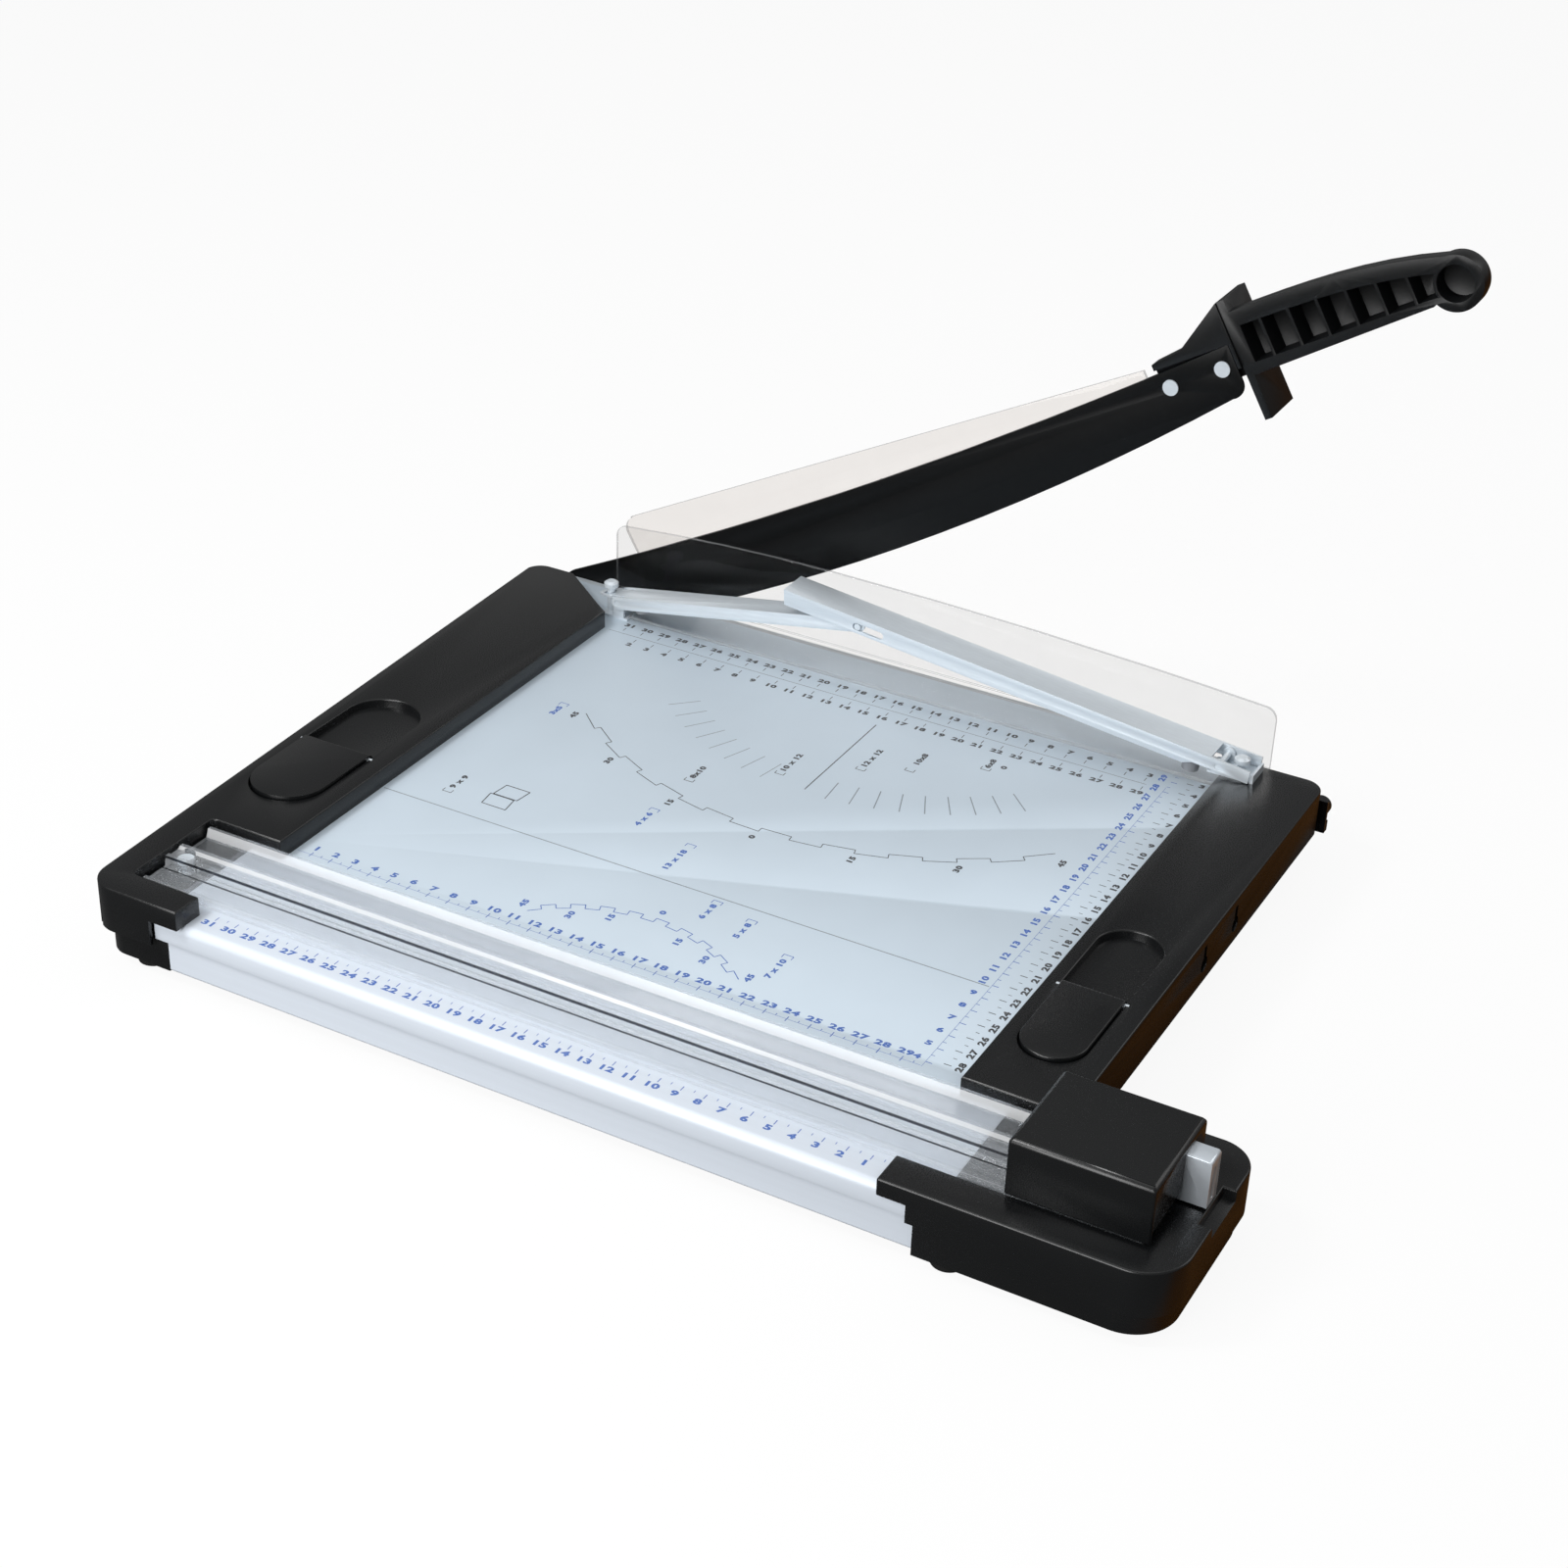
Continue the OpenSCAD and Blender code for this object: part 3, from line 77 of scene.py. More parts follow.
# Zero of the bench axes, measured from the right frame's inner side
BED_RIGHT_MM = 319.5

# Joining and rounding of the CAD meshes
WELD_MM = 0.004
LEVEL_TURN_DEG = 0.6
SHARP_DEG = 35.0
EDGE_SEGMENTS = 2
RIM_SEGMENTS = 3
FLAT_TURN = 0.99  # a normal's share along an axis from which its face counts as flat
LEVEL_SLACK_MM = 0.02
RIM_TURN = 0.7
RIMMED_MM = {  # radius of all edges, and of the top's rim
    "left_frame": (0.5, 0.8),
    "right_frame": (0.5, 0.8),
    "end_block": (0.5, 0.9),
}
ROUNDED_MM = {
    "left_end_cap": 0.8,
    "head_cover": 1.6,
    "handle": 0.6,
    "head_button": 0.6,
    "left_flap": 0.8,
    "right_flap": 0.8,
    "right_lever": 0.5,
    "left_lever": 0.4,
    "front_extrusion": 0.5,
    "blade_arm": 0.25,
}
PLATE_ROUND_MM = 0.5
SHEET_ROUND_MM = 0.4
RAIL_ROUND_MM = 0.5

# Places of finishes that cover only a part of their piece: painted shade and painted highlights
# Painted shade along both edges of the cutting strip's groove
GROOVE_MIDDLE_MM = -0.5
GROOVE_HALF_MM = 3.1
GROOVE_CLEAR_SHARE = 0.85
SHIELD_FOOT_TOP_MM = 4.2
# The table plate's back left corner from here is painted black as shade
PLATE_SHADE_CORNER_MM = (-14, 290)
# Faces of the clear rail that turn up and to the front by more than this get a painted highlight;
# the lines below are painted shade
HIGHLIGHT_TURN = 0.3
RIDGE_SHADE_FROM_MM = 6.9
RIDGE_SHADE_MM = (-6.5, -4.0)
WEB_SHADE_MM = (-8.5, -7.7)

RAIL_TRAVEL_MM = 0.55  # how far the rail can go down, with some room

# Noise that drives the finishes
NOISE_SPAN = (0.3, 0.7)
CLOUD_SCALE = 22.0
SCUFF_SCALE = 60.0
# Near-black colour of the painted shade lines on the cutting strip and the clear rail
PAINTED_SHADE_BLACK = (0.004, 0.005, 0.008)

# Print
PRINT_LIFT_MM = 0.015
PRINT_THICK_MM = 0.03
FIGURE_SCALE = 1.35
FIGURE_WIDTH = 1.45
FIGURE_SPACING = 1.1
FIGURE_BOLD_MM = 0.2
TURNED_FROM = 10  # figures from here on are turned on the upright scales
QUARTER_DEG = 90
SMALL_FIGURE = 0.85
HALF_TICK_WIDTH = 0.6
FINE_LINE = 0.3
THIN_LINE = 0.4
MARK_LINE = 0.7
ARC_LINE = 0.8
BOLD_LINE = 1.1

# Light
FLOOR_SIZE = 14.0
FLOOR_GLOW = 0.92
FLOOR_PAPER = (0.9, 0.9, 0.9, 1)
FLOOR_BOUNCE = (0.13, 0.13, 0.13, 1)
WARM_BOUNCE = (0.19, 0.08, 0.02, 1)
WARM_FROM_MM = (368, 374)
WARM_FRONT_MM = (-40, -25)
SKY_LEVEL = 0.27
WHITE = (1, 1, 1, 1)
LAMPS = (  # name, place in metres, width in metres, power in watts
    ("top_lamp", (-0.1, 0.0, 1.7), 1.4, 4.5),
    ("front_lamp", (-0.2, -1.5, 0.65), 1.0, 19.0),
    ("edge_lamp", (-0.65, -0.8, 1.25), 0.4, 9.0),
    ("rim_lamp", (0.9, 0.9, 1.1), 0.8, 3.0),
)

# Camera
AZIMUTH_DEG, ELEVATION_DEG, ROLL_DEG = 27.799, 30.202, 2.183
CAMERA_SPOT_MM = (644.6, -740.3, 615.7)
FOCAL_PX = 2795.3
PICTURE_PX = 1600
SENSOR_MM = 36.0
CLIP_START = 0.01


class Scale(NamedTuple):
    """One printed scale in millimetres: zero and pitch run along it, the rest lies across it."""

    zero: float
    pitch: float
    figure_row: float
    tick: tuple
    half_tick: tuple = ()
    figure_shift: float = 0.0
    tick_shift: float = 0.0
    tick_width: float = 0.8
    figure_share: float = 0.9
    upright: bool = False

    def point(self, along, across):
        """A point of the scale on the bench axes."""
        return (across, along) if self.upright else (along, across)


FRONT_RULER = Scale(
    zero=318.4, pitch=-CM_IN_MM, figure_row=-27.4, tick=(-24.6, -21.8), half_tick=(-23.2, -21.8),
    figure_shift=-1, figure_share=1.0,
)
FRONT_SCALE = Scale(
    zero=0, pitch=CM_IN_MM, figure_row=41.8, tick=(35.2, 38.6), half_tick=(36.8, 38.2),
    figure_shift=-0.5, figure_share=1.0,
)
BLUE_SIDE_SCALE = Scale(
    zero=0, pitch=CM_IN_MM, figure_row=294.4, tick=(298.8, 301.6), half_tick=(298.8, 300.4),
    figure_shift=1.6, upright=True,
)
BLACK_SIDE_SCALE = Scale(
    zero=323.4, pitch=-CM_IN_MM, figure_row=312.3, tick=(305.4, 308.6), half_tick=(307, 308.6),
    tick_shift=-1, upright=True,
)
# The two back rows are drawn a little closer than true centimetres, as they are printed
BACK_ROW = Scale(
    zero=318, pitch=-9.87, figure_row=290.6, tick=(284.6, 287.6), tick_shift=-0.5, tick_width=0.7,
)
SECOND_ROW = Scale(
    zero=2, pitch=9.89, figure_row=273.4, tick=(276.4, 279.4), tick_shift=0.6, tick_width=0.7,
)

FRONT_COUNTS = range(1, 30)
BLUE_SIDE_COUNTS = range(4, 30)
BLACK_SIDE_COUNTS = range(3, 29)
BACK_COUNTS = range(3, 32)
SECOND_COUNTS = range(2, 30)
BLUE_CORNER_MM = (298.8, 36.8)  # where the blue scales' base lines meet
BASE_LINE_FROM_MM = 3
BLUE_SIDE_END_MM = 284
BACK_LINE_MM = ((5, 282), (290, 282))

# Angle marks: the middle of each fan lies on its cutting line
ROTARY_MIDDLE_MM = (160, 0)
ROTARY_ARC_MM = (68.5, 71.5)
ROTARY_ANGLES = (  # angle and radius of its figure
    (-45, 74.5), (-30, 63.5), (-15, 64), (0, 76.5), (15, 63), (30, 64), (45, 76),
)
BLADE_MIDDLE_MM = (161.5, 323.3)
BLADE_ARC_MM = (169.5, 166.5)
BLADE_FIGURE_ROW_MM = 175
BLADE_ANGLES = range(-45, 46, 15)
SQUARE_LINE_MM = ((161.3, 266), (161.3, 196.2))
ARC_FROM_DEG = -45
ARC_STEP_DEG = 5
ARC_STEPS = 18
FAN_MM = (114.5, 130)
FAN_ANGLES = (*range(-45, -9, 5), *range(5, 46, 5))
MIDDLE_LINE_MM = ((3, 98.6), (298, 98.6))

# Sheet sizes: figures, their middle, and where their bracket ends
BLUE_SIZES = (
    ("13 x 18", 142.8, 114.5, 129),
    ("6 x 8", 175.1, 87, 96),
    ("5 x 8", 194.4, 82, 91),
    ("7 x 10", 219.5, 65, 76),
    ("4 x 6", 114, 136.4, 146.4),
    ("3x5", 28.2, 198.6, 206.4),
)
BLACK_SIZES = (
    ("8x10", 113.6, 184, 175),
    ("10 x 12", 145, 214, 202),
    ("12 x 12", 174.2, 237, 224.7),
    ("10x8", 193.6, 248, 235.5),
    ("6x8", 222.3, 261.5, 255),
    ("9 x 9", 28, 120.4, 110.4),
)
BRACKET_HALF_MM = 2.2
BRACKET_LIP_MM = 2.4
ZERO_MARK_MM = (229, 261.5)
BOOKLET_MM = (46.5, 58.8)  # its pages' spine side and outer side
BOOKLET_PAGES_MM = ((110.7, 119.5, -1.2), (119.9, 129, 1))  # from, to, and lean of each page

# Bench axes of the drawing: x from the scale's zero, y from the rotary cutting line,
# z from the table's top
_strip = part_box("cutting_strip")
ZERO = Vector((
    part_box("right_frame")[0].x - BED_RIGHT_MM * MM,
    (_strip[0].y + _strip[1].y) / 2,
    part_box("table_plate")[1].z,
))


def at(x, y, z):
    """A point given on the bench axes in millimetres, in the scene's metres."""
    return ZERO + Vector((x, y, z)) * MM


# Shader trees


def material(name):
    """A new material with its tree and its Principled shader."""
    made = bpy.data.materials.new(name)
    made.use_nodes = True
    tree = made.node_tree
    tree.nodes.clear()
    shader = tree.nodes.new("ShaderNodeBsdfPrincipled")
    output = tree.nodes.new("ShaderNodeOutputMaterial")
    tree.links.new(shader.outputs["BSDF"], output.inputs["Surface"])
    return made, tree, shader


def pattern(tree, scale, stretch=(1, 1, 1), detail=2.0):
    """Noise on Object coordinates, stretched along an axis for grain."""
    place = tree.nodes.new("ShaderNodeTexCoord")
    mapping = tree.nodes.new("ShaderNodeMapping")
    mapping.inputs["Scale"].default_value = stretch
    noise = tree.nodes.new("ShaderNodeTexNoise")
    noise.inputs["Scale"].default_value = scale
    noise.inputs["Detail"].default_value = detail
    tree.links.new(place.outputs["Object"], mapping.inputs["Vector"])
    tree.links.new(mapping.outputs["Vector"], noise.inputs["Vector"])
    return noise.outputs["Fac"]


def place_in_scene(tree):
    """The point's coordinates, one output for each axis."""
    place = tree.nodes.new("ShaderNodeTexCoord")
    split = tree.nodes.new("ShaderNodeSeparateXYZ")
    tree.links.new(place.outputs["Object"], split.inputs["Vector"])
    return split.outputs


def remap(tree, value, taken, given=(0, 1)):
    """A value turned from one range into another."""
    turned = tree.nodes.new("ShaderNodeMapRange")
    turned.inputs["From Min"].default_value = taken[0]
    turned.inputs["From Max"].default_value = taken[1]
    turned.inputs["To Min"].default_value = given[0]
    turned.inputs["To Max"].default_value = given[1]
    tree.links.new(value, turned.inputs["Value"])
    return turned.outputs["Result"]


def worked(tree, operation, first, second=None):
    """A sum of one value, or of a value and a second one or a number."""
    node = tree.nodes.new("ShaderNodeMath")
    node.operation = operation
    tree.links.new(first, node.inputs[0])
    if isinstance(second, (int, float)):
        node.inputs[1].default_value = second
    elif second is not None:
        tree.links.new(second, node.inputs[1])
    return node.outputs[0]


def mixed(tree, share):
    """A mix of two colours by a share. The caller fills A and B."""
    mix = tree.nodes.new("ShaderNodeMix")
    mix.data_type = "RGBA"
    tree.links.new(share, mix.inputs["Factor"])
    return mix


def spread(tree, noise, middle, share):
    """The noise turned into numbers around a middle value, up to a share of it away."""
    return remap(tree, noise, NOISE_SPAN, (middle * (1 - share), middle * (1 + share)))


def tint(tree, noise, dark, light):
    """The noise turned into a range of colours."""
    ramp = tree.nodes.new("ShaderNodeValToRGB")
    for stop, position, color in zip(ramp.color_ramp.elements, NOISE_SPAN, (dark, light)):
        stop.position = position
        stop.color = (*color, 1)
    tree.links.new(noise, ramp.inputs["Fac"])
    return ramp.outputs["Color"]


def scaled(color, share):
    """A colour made darker or lighter by a share."""
    return [min(1.0, c * share) for c in color]


def relief(tree, shader, noise, strength, depth_mm):
    """A fine bump from the noise."""
    bump = tree.nodes.new("ShaderNodeBump")
    bump.inputs["Strength"].default_value = strength
    bump.inputs["Distance"].default_value = depth_mm * MM
    tree.links.new(noise, bump.inputs["Height"])
    tree.links.new(bump.outputs["Normal"], shader.inputs["Normal"])


# Finishes


def moulded(name, color, rough, grain, depth_mm, level=0.3, cloud_share=0.1, alpha=1.0):
    """Moulded plastic or paint: a slight cloud in its colour, a fine grain and an uneven sheen."""
    made, tree, shader = material(name)
    cloud = pattern(tree, CLOUD_SCALE)
    fine = pattern(tree, grain)
    dark, light = scaled(color, 1 - cloud_share), scaled(color, 1 + cloud_share)
    tree.links.new(tint(tree, cloud, dark, light), shader.inputs["Base Color"])
    tree.links.new(spread(tree, fine, rough, 0.15), shader.inputs["Roughness"])
    relief(tree, shader, fine, 0.35, depth_mm)
    shader.inputs["Specular IOR Level"].default_value = level
    shader.inputs["Alpha"].default_value = alpha
    return made


def metal(name, color, rough, stretch, scale, metallic, grain_share=0.03):
    """Bare or plated metal with a grain drawn along one axis."""
    made, tree, shader = material(name)
    grain = pattern(tree, scale, stretch, detail=4.0)
    dark, light = scaled(color, 1 - grain_share), scaled(color, 1 + grain_share)
    tree.links.new(tint(tree, grain, dark, light), shader.inputs["Base Color"])
    tree.links.new(spread(tree, grain, rough, 0.08), shader.inputs["Roughness"])
    relief(tree, shader, grain, 0.05, 0.02)
    shader.inputs["Metallic"].default_value = metallic
    return made


def clear_sheet(name, color):
    """Thin clear sheet: it dims what lies behind it, and has a gloss of its own with scuffs."""
    made, tree, shader = material(name)
    scuffs = pattern(tree, SCUFF_SCALE)
    tree.links.new(tint(tree, scuffs, scaled(color, 0.98), color), shader.inputs["Base Color"])
    tree.links.new(spread(tree, scuffs, 0.02, 0.5), shader.inputs["Roughness"])
    shader.inputs["IOR"].default_value = 1.02
    shader.inputs["Transmission Weight"].default_value = 1.0
    shader.inputs["Coat Weight"].default_value = 0.3
    shader.inputs["Coat Roughness"].default_value = 0.03
    return made


def clear_plastic(name, color, rough, alpha, stretch, milk=0.0):
    """Clear moulded plastic, with faint scuffs in its gloss and a share of milky haze."""
    made, tree, shader = material(name)
    scuffs = pattern(tree, SCUFF_SCALE, stretch)
    tree.links.new(tint(tree, scuffs, scaled(color, 0.97), color), shader.inputs["Base Color"])
    tree.links.new(spread(tree, scuffs, rough, 0.4), shader.inputs["Roughness"])
    shader.inputs["Alpha"].default_value = alpha
    shader.inputs["IOR"].default_value = 1.49
    shader.inputs["Transmission Weight"].default_value = 1.0 - milk
    return made


def striped(name, sides, line, middle, half_width):
    """The cutting strip: pale plastic, with painted shade of the groove along both of its edges."""
    made, tree, shader = material(name)
    off_middle = worked(tree, "SUBTRACT", place_in_scene(tree)["Y"], middle)
    distance = worked(tree, "ABSOLUTE", off_middle)
    # The dark share is painted shade of the groove, beside the strip's edges
    groove_shade = remap(tree, distance, (half_width * GROOVE_CLEAR_SHARE, half_width))
    fine = pattern(tree, 1500.0)
    blend = mixed(tree, groove_shade)
    blend.inputs["B"].default_value = (*line, 1)
    tree.links.new(tint(tree, fine, scaled(sides, 0.9), sides), blend.inputs["A"])
    tree.links.new(blend.outputs["Result"], shader.inputs["Base Color"])
    shader.inputs["Roughness"].default_value = 0.5
    return made


def ink(name, color):
    """Screen-printed ink, a little uneven in its cover."""
    made, tree, shader = material(name)
    cover = pattern(tree, 900.0)
    pale = [c + (1 - c) * 0.12 for c in color]
    tree.links.new(tint(tree, cover, pale, color), shader.inputs["Base Color"])
    shader.inputs["Roughness"].default_value = 0.5
    return made


FINISHES = {}


def make_finishes(looks):
    """Every finish of the trimmer, by the name of its material slot or of its own use."""
    black = tuple(looks.shell_color)
    bed = tuple(looks.bed_color)
    steel = tuple(looks.steel_color)
    blue = tuple(looks.ink_color)
    FINISHES.update(
        pan=moulded(
            "painted_bed", bed, rough=0.45, grain=1600.0, depth_mm=0.02, level=0.4,
            cloud_share=0.02,
        ),
        shell=moulded("frame_plastic", black, rough=0.28, grain=2200.0, depth_mm=0.02, level=0.5),
        handle=moulded("handle_plastic", black, rough=0.34, grain=2400.0, depth_mm=0.04),
        black_steel=moulded(
            "coated_blade", scaled(black, 0.5), rough=0.4, grain=1800.0, depth_mm=0.03, level=0.15,
        ),
        nylon=moulded("nylon", (0.26, 0.27, 0.29), rough=0.45, grain=900.0, depth_mm=0.03),
        carriage=moulded(
            "carriage_plastic", (0.012, 0.013, 0.015), rough=0.5, grain=1500.0, depth_mm=0.04,
        ),
        rubber=moulded("foot_rubber", (0.01, 0.01, 0.01), rough=0.75, grain=800.0, depth_mm=0.1),
        # The cutting strip, with painted shade along its groove's edges
        strip=striped(
            "strip_plastic", sides=(0.6, 0.66, 0.72), line=PAINTED_SHADE_BLACK,
            middle=ZERO.y + GROOVE_MIDDLE_MM * MM, half_width=GROOVE_HALF_MM * MM,
        ),
        profile=metal(
            "coated_aluminium", (0.73, 0.79, 0.87), rough=0.42, stretch=(0.1, 30, 30), scale=12.0,
            metallic=0.08, grain_share=0.02,
        ),
        bright_steel=metal(
            "zinc_plate", steel, rough=0.3, stretch=(1, 12, 12), scale=90.0, metallic=0.3,
        ),
        blade_steel=metal(
            "ground_steel", (0.75, 0.79, 0.83), rough=0.28, stretch=(0.3, 30, 30), scale=60.0,
            metallic=0.4,
        ),
        button=metal(
            "silver_button", (0.72, 0.78, 0.84), rough=0.22, stretch=(1, 1, 1), scale=3000.0,
            metallic=0.4,
        ),
        clear=clear_sheet("clear_guard_sheet", (0.885, 0.88, 0.875)),
        clear_warm=clear_sheet("clear_arm_sheet", (0.885, 0.855, 0.83)),
        # Painted shade on the cut edges of the clear sheets
        clear_rim=moulded(
            "clear_sheet_painted_rim_shade", (0.3, 0.31, 0.32), rough=0.2, grain=600.0, depth_mm=0.01, level=0.5,
            cloud_share=0.02, alpha=0.45,
        ),
        clear_rail=clear_plastic(
            "clear_rail_plastic", (0.85, 0.9, 0.95), rough=0.04, alpha=0.27, stretch=(0.02, 8, 8),
            milk=0.4,
        ),
        # Painted highlight on the clear rail's edges
        clear_crest=moulded(
            "clear_rail_painted_highlight", (0.97, 0.98, 1.0), rough=0.2, grain=600.0, depth_mm=0.01, level=0.5,
            cloud_share=0.02, alpha=0.4,
        ),
        # Painted shade lines on the clear rail
        clear_shade=clear_plastic(
            "clear_rail_painted_shade", PAINTED_SHADE_BLACK, rough=0.2, alpha=0.95, stretch=(0.02, 4, 4),
        ),
        blue_ink=ink("blue_ink", blue),
        black_ink=ink("black_ink", (0.012, 0.014, 0.02)),
        grey_ink=ink("grey_ink", (0.22, 0.26, 0.3)),
    )


# Pieces


def link(name, mesh, finish, body):
    """A finished piece that rides on its body."""
    piece = bpy.data.objects.new(name, mesh)
    bpy.context.scene.collection.objects.link(piece)
    mesh.materials.clear()
    mesh.materials.append(FINISHES[finish])
    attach(piece, body)
    return piece


@contextmanager
def editing(mesh):
    """The mesh opened as a form, and written back at the end."""
    form = bmesh.new()
    form.from_mesh(mesh)
    yield form
    form.to_mesh(mesh)
    form.free()


def split_faces(form, point, normal):
    """Faces that a plane passes through are split along it."""
    whole = [*form.verts, *form.edges, *form.faces]
    bmesh.ops.bisect_plane(form, geom=whole, plane_co=point, plane_no=normal)


def drop_inner_faces(form):
    """Faces of two sub-parts that lie on each other are taken out, so that the form is one skin."""
    seen = {}
    for face in form.faces:
        seen.setdefault(frozenset(v.index for v in face.verts), []).append(face)
    doubled = [face for faces in seen.values() if len(faces) > 1 for face in faces]
    bmesh.ops.delete(form, geom=doubled, context="FACES")


def is_sharp(edge):
    """Whether the two faces of an edge turn by more than the sharp angle."""
    return len(edge.link_faces) == 2 and edge.calc_face_angle(0) > math.radians(SHARP_DEG)


def top_rims(form):
    """The outward edges around the form's highest flat faces."""
    top = max(v.co.z for v in form.verts)
    return [
        edge for edge in form.edges
        if is_sharp(edge) and edge.is_convex
        and max(face.normal.z for face in edge.link_faces) > FLAT_TURN
        and all(abs(v.co.z - top) < LEVEL_SLACK_MM * MM for v in edge.verts)
    ]


def eased(node, radius, *others, rim=0.0, finish=None):
    """A copy of a CAD node, or of several that meet, with rounded edges, which stands for them."""
    mesh = bpy.data.meshes.new(node + "_finished")
    form = bmesh.new()
    for part in (node, *others):
        form.from_mesh(NODES[part].data)
    bmesh.ops.remove_doubles(form, verts=form.verts, dist=WELD_MM * MM)
    bmesh.ops.dissolve_limit(
        form, angle_limit=math.radians(LEVEL_TURN_DEG), verts=form.verts, edges=form.edges,
    )
    if others:
        form.verts.index_update()
        drop_inner_faces(form)
    bmesh.ops.recalc_face_normals(form, faces=form.faces)
    if rim:
        bmesh.ops.bevel(
            form, geom=top_rims(form), offset=rim * MM, offset_type="OFFSET", affect="EDGES",
            segments=RIM_SEGMENTS, profile=0.5, material=-1, clamp_overlap=False,
        )
    bmesh.ops.bevel(
        form, geom=[edge for edge in form.edges if is_sharp(edge)], offset=radius * MM,
        offset_type="OFFSET", affect="EDGES", segments=EDGE_SEGMENTS, profile=0.5, material=-1,
        clamp_overlap=True,
    )
    for face in form.faces:
        face.smooth = True
    form.to_mesh(mesh)
    form.free()
    mesh.set_sharp_from_angle(angle=math.radians(SHARP_DEG))
    piece = link(node + "_finished", mesh, finish or SLOTS[node], BODY_OF[node])
    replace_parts(piece, node, *others)
    return piece


def shortened(node, travel_mm):
    """A copy of the springs at their pressed length, so that the lowered rail clears them."""
    mesh = NODES[node].data.copy()
    low = min(v.co.z for v in mesh.vertices)
    high = max(v.co.z for v in mesh.vertices)
    share = 1 - travel_mm * MM / (high - low)
    for point in mesh.vertices:
        point.co.z = low + (point.co.z - low) * share
    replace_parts(link(node + "_pressed", mesh, SLOTS[node], BODY_OF[node]), node)


def darken_corner(piece):
    """The plate's back left corner, beside the pivot bracket, gets the black frame finish as
    painted shade.
    """
    mesh = piece.data
    corner = at(*PLATE_SHADE_CORNER_MM, 0)
    with editing(mesh) as form:
        split_faces(form, corner, (1, 0, 0))
    mesh.materials.append(FINISHES["shell"])
    for face in mesh.polygons:
        if face.center.x < corner.x and face.center.y > corner.y:
            face.material_index = 1


def darken_rim(piece, foot_top=None):
    """The cut edges of a clear sheet are painted darker, as shade that stands for their refraction.
    Below the given height the sheet lies flat.
    """
    mesh = piece.data
    mesh.materials.append(FINISHES["clear_rim"])
    for face in mesh.polygons:
        in_foot = foot_top is not None and face.center.z < foot_top
        if abs(face.normal.z if in_foot else face.normal.y) < RIM_TURN:
            face.material_index = 1


def crests(piece):
    """Edges of the clear rail painted white as highlights, and two lines painted dark as shade;
    both stand for the rail's glare and refraction.
    """
    mesh = piece.data
    with editing(mesh) as form:
        split_faces(form, at(0, 0, RIDGE_SHADE_FROM_MM), (0, 0, 1))
        for y in WEB_SHADE_MM:
            split_faces(form, at(0, y, 0), (0, 1, 0))
    mesh.materials.append(FINISHES["clear_crest"])
    mesh.materials.append(FINISHES["clear_shade"])
    for face in mesh.polygons:
        middle = (face.center - ZERO) / MM
        facing_front = face.normal.y < -HIGHLIGHT_TURN
        on_ridge = RIDGE_SHADE_MM[0] < middle.y < RIDGE_SHADE_MM[1]
        on_web = WEB_SHADE_MM[0] < middle.y < WEB_SHADE_MM[1]
        if facing_front and on_ridge and middle.z > RIDGE_SHADE_FROM_MM:
            face.material_index = 2
        elif on_web and face.normal.z > RIM_TURN:
            face.material_index = 2
        elif facing_front and face.normal.z > HIGHLIGHT_TURN or abs(face.normal.x) > RIM_TURN:
            face.material_index = 1


# Print


def ray(centre, radius, angle, facing):
    """The point at an angle from the square through a centre on a cutting line."""
    turn = math.radians(angle)
    return centre[0] + radius * math.sin(turn), centre[1] + facing * radius * math.cos(turn)


